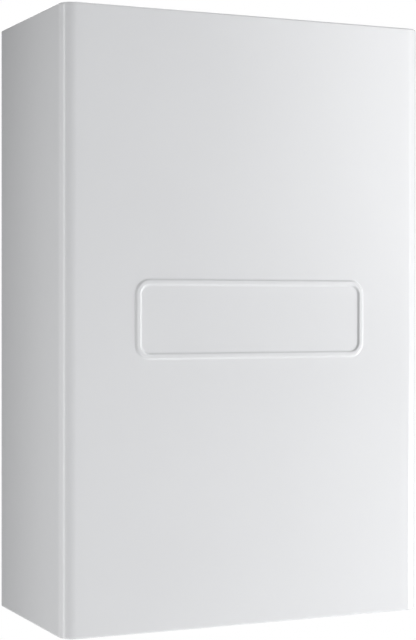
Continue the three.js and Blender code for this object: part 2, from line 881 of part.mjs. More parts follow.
function heatExchangerCore() {
  const outer = cellRadius - cellWall - seatGap;
  const rearY = cellRearY - cellWall - coreEndRoom;
  const frontY = cellFrontY + insulationDepth + coreEndRoom;
  const pitch = (frontY - rearY) / coreRibs;
  const outside = [];
  const inside = [];
  for (let rib = 0; rib < coreRibs; rib += 1) {
    const startY = rearY + rib * pitch;
    outside.push([outer - coreGroove, startY], [outer, startY + pitch / 2]);
    inside.unshift([coreInnerRadius, startY + pitch / 2], [coreInnerRadius + coreGroove, startY]);
  }
  outside.push([outer - coreGroove, frontY]);
  inside.unshift([coreInnerRadius + coreGroove, frontY]);
  return turnedForward([...outside, ...inside], cellX, cellZ);
}

function doorInsulation() {
  const outer = cellRadius - cellWall - seatGap;
  const disc = turnedForward(tubeProfile(
    outer, burnerFlangeRadius + seatGap, cellFrontY + insulationDepth, cellFrontY,
  ), cellX, cellZ);
  return cut(disc, ...electrodeHoles(cellFrontY + insulationDepth + cutThrough, cellFrontY - cutThrough));
}

function burnerTube() {
  const flangeRearY = cellFrontY + burnerFlangeDepth;
  const endY = cellFrontY + burnerLength;
  return turnedForward([
    [0, endY],
    [burnerRadius, endY],
    [burnerRadius, flangeRearY],
    [burnerFlangeRadius, flangeRearY],
    [burnerFlangeRadius, cellFrontY],
    [burnerRadius - burnerWall, cellFrontY],
    [burnerRadius - burnerWall, endY - burnerWall],
    [0, endY - burnerWall],
  ], cellX, cellZ);
}

function electrodePlace(side) {
  const angle = THREE.MathUtils.degToRad(electrodeAngle);
  return [cellX + side * electrodeReach * Math.cos(angle), cellZ + electrodeReach * Math.sin(angle)];
}

function electrodeHoles(rearY, frontY) {
  return [-1, 1].map((side) => {
    const [x, z] = electrodePlace(side);
    return rodForward(electrodeRadius + holeGap, x, z, rearY, frontY, smallSides);
  });
}

function burnerDoor() {
  const bosses = [];
  for (let i = 0; i < doorBossCount; i += 1) {
    const angle = (i + 0.5) * 2 * Math.PI / doorBossCount;
    const reach = doorRadius - doorBossRadius;
    const x = cellX + reach * Math.cos(angle);
    const z = cellZ + reach * Math.sin(angle);
    bosses.push(rodForward(doorBossRadius, x, z, doorRearY, doorFrontY - doorBossDepth, smallSides));
  }
  const plate = turnedForward([
    [0, doorRearY],
    [doorRadius, doorRearY],
    [doorRadius, doorFrontY],
    [doorSeatRadius, doorFrontY],
    [doorSeatRadius, doorSeatY],
    [0, doorSeatY],
  ], cellX, cellZ);
  const passage = rodForward(doorHoleRadius, cellX, cellZ, doorRearY + cutThrough, doorSeatY - cutThrough);
  const holes = electrodeHoles(doorRearY + cutThrough, doorSeatY - cutThrough);
  return cut(join(plate, ...bosses), passage, ...holes);
}

function electrode(side) {
  const [x, z] = electrodePlace(side);
  const seatY = doorFrontY - seatGap;
  const innerY = doorRearY + electrodeIn;
  return turnedForward([
    [0, innerY + sparkRodLength],
    [sparkRodRadius, innerY + sparkRodLength],
    [sparkRodRadius, innerY],
    [electrodeRadius, innerY],
    [electrodeRadius, seatY],
    [electrodeFlangeRadius, seatY],
    [electrodeFlangeRadius, seatY - electrodeFlangeDepth],
    [electrodeRadius, seatY - electrodeFlangeDepth],
    [electrodeRadius, seatY - electrodeOut],
    [0, seatY - electrodeOut],
  ], x, z, smallSides);
}

function ignitionTransformer() {
  const rearY = frameFrontY - seatGap;
  const outline = new THREE.Shape(roundedPoints(
    transformerWidth, transformerHeight, boxRadius, transformerX, transformerZ, edgeSteps,
  ));
  return forward(outline, rearY, rearY - transformerDepth, 1);
}

function ignitionLead() {
  const [tipX, tipZ] = electrodePlace(1);
  const tipY = doorFrontY - electrodeOut - 2 * seatGap;
  const runY = tipY - 2 * leadBend;
  const boxY = frameFrontY - transformerDepth - 2 * seatGap;
  return pipe([
    [tipX, tipY, tipZ],
    [tipX, runY, tipZ],
    [transformerX, runY, transformerZ],
    [transformerX, boxY, transformerZ],
  ], leadRadius, leadBend, smallSides / 2 + 2);
}

// ---- fan, mixer and gas ----
function fanScroll() {
  const points = [];
  for (let step = 0; step <= fanSteps; step += 1) {
    const share = step / fanSteps;
    const angle = -share * 2 * Math.PI;
    const radius = fanBaseRadius + fanGrowth * (1 - share);
    points.push(new THREE.Vector2(fanX + radius * Math.cos(angle), fanZ + radius * Math.sin(angle)));
  }
  return new THREE.Shape(points.reverse());
}

function fanHousing() {
  const halfOutlet = fanOutletWidth / 2;
  const outlet = block(fanOutletX - halfOutlet, fanOutletX + halfOutlet, fanRearY, fanFrontY, fanZ, fanTopZ);
  const channel = block(
    fanOutletX - halfOutlet + fanWall, fanOutletX + halfOutlet - fanWall,
    fanRearY - fanWall, fanFrontY + fanWall, fanZ, fanTopZ + cutThrough,
  );
  return cut(
    join(forward(fanScroll(), fanRearY, fanFrontY), outlet),
    rodForward(fanCavityRadius, fanX, fanZ, fanRearY - fanWall, fanFrontY + fanWall, roundSides),
    channel,
    rodForward(fanInletRadius, fanX, fanZ, fanRearY + cutThrough, fanRearY - fanWall - 1),
    rodForward(fanEyeRadius, fanX, fanZ, fanFrontY + fanWall + 1, fanFrontY - cutThrough),
  );
}

function fanImpeller() {
  const rearY = fanRearY - fanWall - impellerRoom;
  const frontY = rearY - impellerDepth;
  const tip = fanCavityRadius - impellerRoom;
  const plate = rodForward(tip, fanX, fanZ, frontY + 2, frontY, roundSides);
  const hub = rodForward(impellerHubRadius, fanX, fanZ, rearY - impellerDepth / 2, frontY);
  const shaft = rodForward(fanShaftRadius, fanX, fanZ, frontY + 1, frontY - fanShaftLength, smallSides);
  const blades = [];
  for (let i = 0; i < impellerBlades; i += 1) {
    const blade = block(impellerHubRadius - 1, tip - 1, rearY, frontY + 1, -impellerBladeWidth / 2, impellerBladeWidth / 2);
    blades.push(blade.rotateY(i * 2 * Math.PI / impellerBlades).translate(fanX, 0, fanZ));
  }
  return join(plate, hub, shaft, ...blades);
}

function fanMotor() {
  const rearY = fanFrontY - seatGap;
  const step = fanMotorStep;
  const body = turnedForward([
    [0, rearY],
    [fanMotorRadius, rearY],
    [fanMotorRadius, rearY - fanMotorDepth / 2],
    [fanMotorRadius - step, rearY - fanMotorDepth / 2],
    [fanMotorRadius - step, rearY - fanMotorDepth + step],
    [fanMotorRadius - 2 * step, fanMotorFrontY],
    [0, fanMotorFrontY],
  ], fanX, fanZ);
  const bore = fanShaftRadius + spinGap;
  return cut(body, rodForward(bore, fanX, fanZ, rearY + cutThrough, rearY - fanShaftLength, smallSides));
}

function mixingDuct() {
  const half = fanOutletWidth / 2;
  const baseZ = fanTopZ + seatGap;
  const neck = (margin, head) => new THREE.Shape([
    new THREE.Vector2(fanOutletX - half + margin, baseZ - (margin > 0 ? cutThrough : 0)),
    new THREE.Vector2(fanOutletX + half - margin, baseZ - (margin > 0 ? cutThrough : 0)),
    new THREE.Vector2(cellX + head, cellZ),
    new THREE.Vector2(cellX - head, cellZ),
  ]);
  const outer = join(
    forward(neck(0, ductHeadRadius), ductRearY, ductFrontY),
    rodForward(ductHeadRadius, cellX, cellZ, ductRearY, ductFrontY, roundSides),
  );
  const channelRadius = ductHeadRadius - 2 * ductWall;
  return cut(
    outer,
    forward(neck(ductWall, channelRadius), ductRearY - ductWall, ductFrontY + ductWall),
    rodForward(doorHoleRadius, cellX, cellZ, ductRearY + cutThrough, ductFrontY + ductWall),
  );
}

function venturi() {
  const frontY = fanRearY + seatGap;
  const flangeY = frontY + venturiFlangeDepth;
  return turnedForward([
    [fanInletRadius, frontY],
    [venturiFlangeRadius, frontY],
    [venturiFlangeRadius, flangeY],
    [venturiRadius, flangeY],
    [venturiRadius, venturiRearY],
    [fanInletRadius, venturiRearY],
    [venturiThroat, injectorY],
  ], fanX, fanZ);
}

function airSilencer() {
  const startY = venturiRearY + seatGap;
  const runY = startY + silencerBack;
  return pipe([
    [fanX, startY, fanZ],
    [fanX, runY, fanZ],
    [silencerX, runY, fanZ],
    [silencerX, runY, fanZ + silencerRise],
  ], silencerRadius, silencerBend, mediumSides - 2, silencerRadius - silencerWall);
}

function gasInjectorPipe() {
  return rodAcross(
    injectorRadius, injectorY, fanZ, fanX + venturiRadius + seatGap, valveX - valveWidth / 2 - seatGap, smallSides,
  );
}

function gasValve() {
  const half = valveWidth / 2;
  const frontY = valveRearY - valveDepth;
  const body = block(valveX - half, valveX + half, valveRearY, frontY, valveLowZ, valveTopZ - valveCoilHeight);
  const baseZ = valveTopZ - valveCoilHeight - 1;
  const coils = [1, 3].map((quarter) => rodUp(
    valveCoilRadius, valveX, valveRearY - valveDepth * quarter / 4, baseZ, valveTopZ,
  ));
  const cap = rodForward(valveCoilRadius, valveX, valveLowZ + half, frontY + 1, frontY - valveCoilRadius / 2);
  return join(body, ...coils, cap);
}

function gasPipe() {
  const valveY = valveRearY - valveDepth / 2;
  const riser = pipe([
    [gasX, connectionY, stubEndZ + stubBoreDepth / 2],
    [gasX, connectionY, gasRunZ],
    [valveX, connectionY, gasRunZ],
    [valveX, valveY, gasRunZ],
    [valveX, valveY, valveLowZ - seatGap],
  ], gasPipeRadius - 1, gasPipeBend);
  return stubbed(riser, gasX, gasPipeRadius, stubEndZ + stubBoreDepth);
}

// ---- pipe connections ----
function stubBody(x, radius, toZ) {
  const nutTopZ = bottomPanelUnder - seatGap;
  return join(
    rodUp(radius, x, connectionY, stubEndZ, toZ),
    rodUp(radius + nutRadiusOver, x, connectionY, nutTopZ - nutHeight, nutTopZ, hexSides),
  );
}

function stubBore(x, radius, depth) {
  return rodUp(radius - stubWall, x, connectionY, stubEndZ - cutThrough, stubEndZ + depth, smallSides);
}

function stubbed(body, x, radius, toZ) {
  return cut(join(body, stubBody(x, radius, toZ)), stubBore(x, radius, stubBoreDepth / 2));
}

// ---- expansion vessel ----
function vesselOutline(inset) {
  const middleZ = (vesselTopZ + vesselLowZ) / 2;
  const middleY = vesselRearY - vesselDepth / 2;
  return new THREE.Shape(roundedPoints(
    vesselDepth - 2 * inset, vesselHeight - 2 * inset, vesselCornerRadius - inset, middleY, middleZ,
  ));
}

function expansionVessel() {
  const half = vesselWidth / 2;
  const shell = across(vesselOutline(0), vesselX - half, vesselX + half, vesselRounding);
  const seam = across(vesselOutline(-seamRise), vesselX - seamThickness / 2, vesselX + seamThickness / 2);
  const hollow = across(
    vesselOutline(vesselWall), vesselX - half + vesselWall, vesselX + half - vesselWall, vesselRounding,
  );
  const bossEnd = vesselLowZ - vesselBossLength;
  const insideZ = vesselLowZ + vesselWall + 1;
  return cut(
    join(shell, seam, rodUp(vesselBossRadius, vesselHoseX, vesselHoseY, bossEnd, insideZ, smallSides)),
    hollow,
    rodUp(vesselBoreRadius, vesselHoseX, vesselHoseY, bossEnd - cutThrough, insideZ + cutThrough, smallSides),
  );
}

function vesselBracket() {
  const half = vesselHatWidth / 2;
  const topOfHat = vesselTopZ - vesselHatDrop;
  const hat = hatBracket(vesselX - half, vesselX + half, topOfHat - vesselHatHeight, topOfHat, vesselRearY);
  const seamHalf = seamThickness / 2 + seatGap;
  const seamNotch = block(
    vesselX - seamHalf, vesselX + seamHalf, vesselRearY + seamRise + seatGap, vesselRearY - cutThrough,
    topOfHat - vesselHatHeight - cutThrough, topOfHat + cutThrough,
  );
  return cut(hat, seamNotch);
}

function vesselHose() {
  const endX = flowX - groupHalfWidth + 4 - seatGap;
  return pipe([
    [vesselHoseX, vesselHoseY, vesselLowZ - vesselBossLength - seatGap],
    [vesselHoseX, vesselHoseY, safetyZ],
    [endX, vesselHoseY, safetyZ],
  ], hoseRadius, hoseBend);
}

// ---- hydraulic groups ----
function flowGroup() {
  const leftX = flowX - groupHalfWidth + 4;
  const rightX = flowX + groupHalfWidth - 4;
  const main = block(leftX, rightX, groupRearY, groupFrontY, groupLowZ, groupTopZ);
  const seatEndX = exchangerMiddleX - exchangerHalfLength + armSeatReach;
  const arm = block(rightX - 1, seatEndX, armRearY, armFrontY, armLowZ, groupTopZ);
  const seat = block(
    exchangerMiddleX - exchangerHalfLength, seatEndX, armRearY, armSeatFrontY, armLowZ, groupTopZ + armSeatRise,
  );
  const landing = rodUp(pipeRadius + stubWall, flowDropX, pipeBackY, armLowZ + 1, groupTopZ);
  const valveBody = rodUp(diverterRadius, diverterX, connectionY, groupTopZ - 1, groupTopZ + diverterRise);
  const boreFromZ = groupTopZ + diverterRise - diverterYoke - spindleTravel - seatGap;
  const bore = rodUp(
    diverterBoreRadius, diverterX, connectionY, boreFromZ, groupTopZ + diverterRise + cutThrough, smallSides,
  );
  return cut(
    join(
      main, arm, seat, landing, valveBody,
      stubBody(flowX, heatingStubRadius, groupLowZ + 1),
      stubBody(hotWaterX, waterStubRadius, armLowZ + 1),
    ),
    bore,
    stubBore(flowX, heatingStubRadius, stubBoreDepth),
    stubBore(hotWaterX, waterStubRadius, stubBoreDepth),
  );
}

function safetyOutletY() {
  return groupFrontY - safetyValveLength / 2;
}

function returnGroup() {
  const leftX = returnX - groupHalfWidth;
  const main = block(leftX, returnX + groupHalfWidth, groupRearY, groupFrontY, groupLowZ, groupTopZ);
  const seatStartX = exchangerMiddleX + exchangerHalfLength - armSeatReach;
  const arm = block(seatStartX, leftX + 1, armRearY, armFrontY, armLowZ, groupTopZ);
  const seat = block(
    seatStartX, exchangerMiddleX + exchangerHalfLength, armRearY, armSeatFrontY, armLowZ, groupTopZ + armSeatRise,
  );
  const tapZ = armLowZ + 2;
  const tap = rodUp(fillingBodyRadius, fillingX, fillingY, tapZ, tapZ + fillingBodyHeight);
  const tapArm = block(
    fillingX - fillingBodyRadius / 2, fillingX + fillingBodyRadius / 2, armFrontY + 1, fillingY,
    tapZ + 2, tapZ + fillingBodyHeight - 2,
  );
  const valve = rodForward(safetyValveRadius, returnX, safetyZ, groupFrontY + 1, groupFrontY - safetyValveLength);
  const outletEndZ = stubEndZ + safetyOutletRaise;
  const outlet = rodUp(safetyOutletRadius, returnX, safetyOutletY(), outletEndZ, safetyZ, smallSides);
  const stemHole = rodForward(
    knobStemRadius + spinGap, returnX, safetyZ, groupFrontY - safetyValveLength + knobStemLength,
    groupFrontY - safetyValveLength - cutThrough, smallSides,
  );
  const tapHole = rodUp(
    fillingStemRadius - 1 + spinGap, fillingX, fillingY, tapZ - cutThrough, tapZ + knobStemLength, smallSides,
  );
  return cut(
    join(main, arm, seat, tap, tapArm, valve, outlet, stubBody(returnX, heatingStubRadius, groupLowZ + 1)),
    stemHole, tapHole,
    stubBore(returnX, heatingStubRadius, stubBoreDepth),
    rodUp(
      safetyOutletRadius - stubWall, returnX, safetyOutletY(), outletEndZ - cutThrough,
      outletEndZ + stubBoreDepth / 2, smallSides,
    ),
  );
}

function coldInlet() {
  const toZ = armLowZ - seatGap;
  return cut(stubBody(coldWaterX, waterStubRadius, toZ), stubBore(coldWaterX, waterStubRadius, casingHeight));
}

function flowTurbine() {
  const lowZ = stubEndZ + turbineRaise;
  const blades = [];
  for (let i = 0; i < turbineBlades / 2; i += 1) {
    const blade = block(-turbineRadius, turbineRadius, -turbineBladeWidth / 2, turbineBladeWidth / 2, lowZ, lowZ + turbineHeight);
    blades.push(blade.rotateZ(i * 2 * Math.PI / turbineBlades).translate(coldWaterX, connectionY, 0));
  }
  return join(rodUp(turbineHubRadius, coldWaterX, connectionY, lowZ - 1, lowZ + turbineHeight + 1, smallSides), ...blades);
}

function plateHeatExchanger() {
  const lowZ = exchangerLowZ;
  const ribs = [];
  const pitch = (exchangerRearY - exchangerFrontY) / exchangerRibs;
  for (let i = 0; i < exchangerRibs; i += 1) {
    const rearY = exchangerRearY - i * pitch;
    ribs.push([rearY, exchangerRibDepth], [rearY - pitch / 2, 0]);
  }
  const length = exchangerHalfLength * 2;
  const layers = ribs.map(([rearY, inset]) => forward(
    new THREE.Shape(roundedPoints(
      length - 2 * inset, exchangerHeight - 2 * inset, exchangerCornerRadius - inset,
      exchangerMiddleX, lowZ + exchangerHeight / 2, edgeSteps,
    )),
    rearY + (inset > 0 ? 0 : 0.01), rearY - pitch / 2,
  ));
  return join(...layers);
}

function flowPipe() {
  const x = cellX + flowBossX;
  const jogZ = bossEndZ - 2 * pipeBend + 4;
  return pipe([
    [x, waterBossY, bossEndZ - seatGap],
    [x, waterBossY, jogZ],
    [x, pipeBackY, jogZ],
    [flowDropX, pipeBackY, jogZ - pipeBend],
    [flowDropX, pipeBackY, groupTopZ + seatGap],
  ], pipeRadius, pipeBend);
}

function returnPipe() {
  const jogZ = bossEndZ - 2 * pipeBend + 4;
  return pipe([
    [returnRiseX, voluteRearY + seatGap, pumpZ],
    [returnRiseX, pipeBackY, pumpZ],
    [returnRiseX, pipeBackY, jogZ],
    [returnRiseX, waterBossY, jogZ],
    [returnRiseX, waterBossY, bossEndZ - seatGap],
  ], pipeRadius, pipeBend);
}

// ---- pump ----
function pumpHousing() {
  const volute = rodForward(voluteRadius, returnX, pumpZ, voluteRearY, voluteFrontY, roundSides);
  const middleY = (voluteRearY + voluteFrontY) / 2;
  const vent = rodUp(ventRadius, returnX + ventX, middleY, pumpZ, pumpZ + ventRise);
  const chamber = rodForward(
    rotorRadius + rotorRoom, returnX, pumpZ, voluteRearY - voluteWall, voluteFrontY - cutThrough, roundSides,
  );
  const stemZ = pumpZ + ventRise - ventStemLength - 1;
  const stemHole = rodUp(
    ventStemRadius + spinGap, returnX + ventX, middleY, stemZ, stemZ + ventStemLength + cutThrough, smallSides,
  );
  return cut(join(volute, vent), chamber, stemHole);
}

function pumpImpeller() {
  const rearY = voluteRearY - voluteWall - rotorRoom;
  const frontY = rearY - rotorDepth;
  return turnedForward([
    [0, rearY],
    [rotorRadius / 2, rearY],
    [rotorRadius, rearY - rotorDepth / 2],
    [rotorRadius, frontY],
    [rotorShaftRadius, frontY],
    [rotorShaftRadius, pumpMotorRearY - rotorShaftLength],
    [0, pumpMotorRearY - rotorShaftLength],
  ], returnX, pumpZ, mediumSides);
}

function pumpMotor() {
  const frontY = pumpMotorRearY - pumpMotorLength;
  const pitch = pumpMotorLength / (pumpFins + 2);
  const profile = [[0, pumpMotorRearY], [pumpMotorRadius, pumpMotorRearY]];
  for (let i = 0; i < pumpFins; i += 1) {
    const y = pumpMotorRearY - (i + 1) * pitch;
    profile.push([pumpMotorRadius, y], [pumpMotorRadius - finDepth, y]);
    profile.push([pumpMotorRadius - finDepth, y - pitch / 2], [pumpMotorRadius, y - pitch / 2]);
  }
  profile.push([pumpMotorRadius, frontY + finDepth], [pumpMotorRadius - finDepth, frontY], [0, frontY]);
  const bore = rotorShaftRadius + spinGap;
  return cut(
    turnedForward(profile, returnX, pumpZ),
    rodForward(bore, returnX, pumpZ, pumpMotorRearY + cutThrough, pumpMotorRearY - rotorShaftLength - 1, smallSides),
  );
}

function ventCap() {
  const baseZ = pumpZ + ventRise + seatGap;
  const middleY = (voluteRearY + voluteFrontY) / 2;
  return turned([
    [0, baseZ - ventStemLength],
    [ventStemRadius, baseZ - ventStemLength],
    [ventStemRadius, baseZ],
    [ventCapRadius, baseZ],
    [ventCapRadius, baseZ + ventCapHeight - 1],
    [ventCapRadius - 1, baseZ + ventCapHeight],
    [0, baseZ + ventCapHeight],
  ], returnX + ventX, middleY, smallSides);
}

// ---- diverter ----
function diverterSpindle() {
  const topOfValve = groupTopZ + diverterRise;
  const lowZ = topOfValve - diverterYoke;
  const highZ = topOfValve + diverterYoke;
  return turned([
    [0, lowZ],
    [spindleRadius, lowZ],
    [spindleRadius, highZ],
    [0, highZ],
  ], diverterX, connectionY, smallSides);
}

function diverterMotor() {
  const baseZ = groupTopZ + diverterRise + diverterYoke + seatGap;
  const halfWidth = diverterMotorWidth / 2;
  const halfDepth = diverterMotorDepth / 2;
  const head = raised(
    new THREE.Shape(roundedPoints(
      diverterMotorWidth, diverterMotorDepth, boxRadius, diverterX, connectionY, edgeSteps,
    )),
    baseZ, baseZ + diverterMotorHeight, 1.5,
  );
  const legs = [-1, 1].map((side) => block(
    diverterX + side * (diverterRadius - yokeLegWidth), diverterX + side * diverterRadius,
    connectionY - yokeLegDepth / 3, connectionY + yokeLegDepth / 3,
    groupTopZ + diverterRise + seatGap, baseZ + halfDepth / 2,
  ));
  const plug = block(
    diverterX - halfWidth / 2, diverterX + halfWidth / 2, connectionY - halfDepth + 1,
    connectionY - halfDepth - 8, baseZ + halfDepth, baseZ + diverterMotorHeight - halfDepth,
  );
  return join(head, plug, ...legs);
}

// ---- knobs ----
function ribbedRim(radius, place) {
  const ribs = [];
  for (let i = 0; i < knobRibs; i += 1) {
    const angle = i * 2 * Math.PI / knobRibs;
    ribs.push(place(radius * Math.cos(angle), radius * Math.sin(angle)));
  }
  return ribs;
}

function safetyKnob() {
  const rearY = groupFrontY - safetyValveLength - seatGap;
  const frontY = rearY - safetyKnobLength;
  const reach = safetyKnobRadius - knobRibRadius;
  const core = turnedForward([
    [0, rearY + knobStemLength - 1],
    [knobStemRadius, rearY + knobStemLength - 1],
    [knobStemRadius, rearY],
    [reach, rearY],
    [reach, frontY],
    [0, frontY],
  ], returnX, safetyZ);
  const ribs = ribbedRim(reach, (x, z) => rodForward(
    knobRibRadius, returnX + x, safetyZ + z, rearY, frontY + 1, hexSides,
  ));
  return join(core, ...ribs);
}

function fillingKnob() {
  const stemTopZ = armLowZ + 2 - seatGap;
  const knobTopZ = bottomPanelUnder - stubLength + fillingKnobHeight + 4;
  const knobLowZ = knobTopZ - fillingKnobHeight;
  const reach = fillingKnobRadius - knobRibRadius;
  const core = turned([
    [0, knobLowZ],
    [reach, knobLowZ],
    [reach, knobTopZ],
    [fillingStemRadius, knobTopZ],
    [fillingStemRadius, stemTopZ],
    [fillingStemRadius - 1, stemTopZ],
    [fillingStemRadius - 1, stemTopZ + knobStemLength - 1],
    [0, stemTopZ + knobStemLength - 1],
  ], fillingX, fillingY);
  const ribs = ribbedRim(reach, (x, y) => rodUp(
    knobRibRadius, fillingX + x, fillingY + y, knobLowZ + 1, knobTopZ - 1, hexSides,
  ));
  return join(core, ...ribs);
}

// ---- pressure gauge, facing down ----
function pressureGauge() {
  const bezelTopZ = bottomPanelUnder - seatGap;
  const bezelLowZ = bezelTopZ - gaugeBezelHeight;
  const dialZ = bezelLowZ + gaugeRecess;
  const cup = turned([
    [0, bezelLowZ + gaugeHeight],
    [gaugeRadius, bezelLowZ + gaugeHeight],
    [gaugeRadius, bezelTopZ],
    [gaugeBezelRadius, bezelTopZ],
    [gaugeBezelRadius, bezelLowZ + 1],
    [gaugeBezelRadius - 1, bezelLowZ],
    [gaugeRecessRadius, bezelLowZ],
    [gaugeRecessRadius, dialZ],
    [0, dialZ],
  ], gaugeX, gaugeY);
  return cup;
}

function gaugeDialZ() {
  return bottomPanelUnder - seatGap - gaugeBezelHeight + gaugeRecess;
}

function gaugeNeedle() {
  const topOfNeedle = gaugeDialZ() - seatGap;
  const hub = rodUp(needleHubRadius, gaugeX, gaugeY, topOfNeedle - 2 * needleThickness, topOfNeedle, smallSides);
  const hand = block(
    -needleLength, needleHubRadius, -needleWidth / 2, needleWidth / 2,
    topOfNeedle - 2 * needleThickness, topOfNeedle - needleThickness,
  );
  return join(hub, hand.rotateZ(-Math.PI / 4).translate(gaugeX, gaugeY, 0));
}

function gaugeLens() {
  const lowZ = bottomPanelUnder - seatGap - gaugeBezelHeight + seatGap;
  return rodUp(gaugeRecessRadius - seatGap, gaugeX, gaugeY, lowZ, lowZ + lensThickness);
}

// ---- condensate ----
function condensateHose() {
  const x = cellX + drainBossX;
  const runZ = bossEndZ - condensateDrop;
  return pipe([
    [x, drainBossY, bossEndZ - seatGap],
    [x, drainBossY, runZ],
    [trapX, drainBossY, runZ],
    [trapX, trapY, runZ],
    [trapX, trapY, runZ - condensateEnd],
  ], condensateRadius, hoseBend);
}

function condensateTrap() {
  const highZ = bossEndZ - condensateDrop - condensateEnd - seatGap;
  const lowZ = highZ - trapHeight;
  const lip = trapPipeWall;
  return turned([
    [0, stubEndZ + stubBoreDepth / 2],
    [trapPipeRadius - lip, stubEndZ + stubBoreDepth / 2],
    [trapPipeRadius - lip, stubEndZ],
    [trapPipeRadius, stubEndZ],
    [trapPipeRadius, lowZ],
    [trapRadius - lip, lowZ],
    [trapRadius - lip, lowZ + trapHeight / 3],
    [trapRadius, lowZ + trapHeight / 3 + lip],
    [trapRadius, highZ - trapRadius],
    [trapPipeRadius + lip, highZ - lip],
    [trapPipeRadius + lip, highZ],
    [0, highZ],
  ], trapX, trapY, mediumSides);
}

// ---- control box ----
function boxOutline(inset) {
  return new THREE.Shape(roundedPoints(
    boxWidth - 2 * inset, boxHeight - 2 * inset, boxRadius - inset,
    boxMiddleX, (boxTopZ + boxLowZ) / 2, edgeSteps,
  ));
}

function boardStandoffs() {
  const places = [];
  for (const y of [boxRearY - 2 * boardMargin, boxFrontY + 2 * boardMargin]) {
    for (const z of [boxLowZ + 2 * boardMargin, boxTopZ - 2 * boardMargin]) {
      places.push([y, z]);
    }
  }
  return places.map(([y, z]) => rodAcross(
    standoffRadius, y, z, boxLeftX + boxWall / 2, boxLeftX + boxWall + standoffLength, smallSides,
  ));
}

function controlBoxBase() {
  const tray = cut(
    forward(boxOutline(0), boxRearY, boxFrontY),
    forward(boxOutline(boxWall), boxRearY - boxWall, boxFrontY - cutThrough),
  );
  return join(tray, ...boardStandoffs());
}

function controlBoxBracket() {
  const fromX = boxLeftX + boxHatX;
  return hatBracket(fromX, fromX + boxHatWidth, boxTopZ - boardMargin - boxHatHeight, boxTopZ - boardMargin, boxRearY);
}

function buttonPlace() {
  return [boxMiddleX, boxLowZ + boxHeight / 4];
}

function switchPlace() {
  return [boxMiddleX, boxLowZ + boxHeight / 2];
}

function controlBoxLid() {
  const [buttonX, buttonZ] = buttonPlace();
  const [switchX, switchZ] = switchPlace();
  const displayZ = boxLowZ + boxHeight * 3 / 4;
  const halfWidth = switchWidth / 2 + seatGap;
  const halfHeight = switchHeight / 2 + switchRoom;
  return cut(
    forward(boxOutline(0), lidRearY, lidFrontY, 1.5),
    rodForward(buttonRadius + holeGap, buttonX, buttonZ, lidRearY + cutThrough, lidFrontY - cutThrough),
    block(
      switchX - halfWidth, switchX + halfWidth, lidRearY + cutThrough, lidFrontY - cutThrough,
      switchZ - halfHeight, switchZ + halfHeight,
    ),
    forward(
      new THREE.Shape(roundedPoints(displayWidth, displayHeight, boxWall, boxMiddleX, displayZ, edgeSteps)),
      lidFrontY + displayRecess, lidFrontY - cutThrough,
    ),
  );
}

function circuitBoard() {
  const fromX = boxLeftX + boxWall + standoffLength + seatGap;
  const toX = fromX + boardThickness;
  const rearY = boxRearY - boardMargin;
  const frontY = boxFrontY + boardMargin;
  const lowZ = boxLowZ + boardMargin;
  const highZ = boxTopZ - boardMargin;
  const board = block(fromX, toX, rearY, frontY, lowZ, highZ);
  const step = (highZ - lowZ) / boardRows;
  const length = rearY - frontY;
  const seatX = toX - boardSeat;
  const largeX = toX + boardLargePart;
  const largeTopZ = highZ - boardMargin;
  const partRearY = rearY - boardMargin;
  const partFrontY = frontY + boardMargin;
  const parts = [
    block(seatX, largeX, partRearY, partRearY - length * transformerShare, largeTopZ - step * 1.5, largeTopZ),
    block(seatX, largeX, partFrontY, partFrontY + length * relayShare, largeTopZ - step, largeTopZ),
  ];
  for (let i = 0; i < boardRows - 2; i += 1) {
    const z = lowZ + (i + 0.5) * step;
    const canRadius = boardSmallPart / 2 + i;
    const canY = frontY + 3 * boardMargin;
    parts.push(block(seatX, toX + boardSmallPart, partRearY, partRearY - length * plugShare, z, z + step / 2));
    parts.push(rodAcross(canRadius, canY, z, seatX, toX + 2 * boardSmallPart, smallSides));
  }
  return join(board, ...parts);
}

function resetButton() {
  const [x, z] = buttonPlace();
  const frontY = lidFrontY - buttonProud;
  const collarY = lidRearY + seatGap;
  return turnedForward([
    [0, frontY + buttonLength],
    [buttonRadius, frontY + buttonLength],
    [buttonRadius, collarY + buttonCollar],
    [buttonRadius + buttonCollar, collarY + buttonCollar],
    [buttonRadius + buttonCollar, collarY],
    [buttonRadius, collarY],
    [buttonRadius, frontY + 1],
    [buttonRadius - 1, frontY],
    [0, frontY],
  ], x, z, mediumSides);
}

function powerSwitch() {
  const [x, z] = switchPlace();
  const halfHeight = switchHeight / 2;
  const frontY = lidFrontY - switchProud;
  const rearY = frontY + switchDepth;
  const rocker = new THREE.Shape([
    new THREE.Vector2(rearY, z - halfHeight / 2),
    new THREE.Vector2(frontY + switchProud, z - halfHeight),
    new THREE.Vector2(frontY, z - halfHeight),
    new THREE.Vector2(frontY + switchProud / 2, z),
    new THREE.Vector2(frontY + switchProud / 2, z + halfHeight),
    new THREE.Vector2(frontY + 2 * switchProud, z + halfHeight),
    new THREE.Vector2(rearY, z + halfHeight / 2),
  ].reverse());
  return across(rocker, x - switchWidth / 2, x + switchWidth / 2);
}

function cableGland() {
  const nutLowZ = bottomPanelTop + seatGap;
  const headTopZ = bottomPanelUnder - seatGap;
  return turned([
    [glandBore, headTopZ - glandHeadHeight],
    [glandHexRadius - 3, headTopZ - glandHeadHeight],
    [glandHexRadius, headTopZ - glandHeadHeight + 3],
    [glandHexRadius, headTopZ],
    [glandRadius, headTopZ],
    [glandRadius, nutLowZ],
    [glandHexRadius, nutLowZ],
    [glandHexRadius, nutLowZ + glandNutHeight],
    [glandBore, nutLowZ + glandNutHeight],
  ], glandX, glandY, mediumSides);
}

// ---- the boiler ----
const boiler = new THREE.Group();
boiler.name = 'combi_boiler';

function add(name, geometry, material) {
  const mesh = new THREE.Mesh(toGeometry(toSolid(geometry)), material);
  mesh.name = name;
  boiler.add(mesh);
}

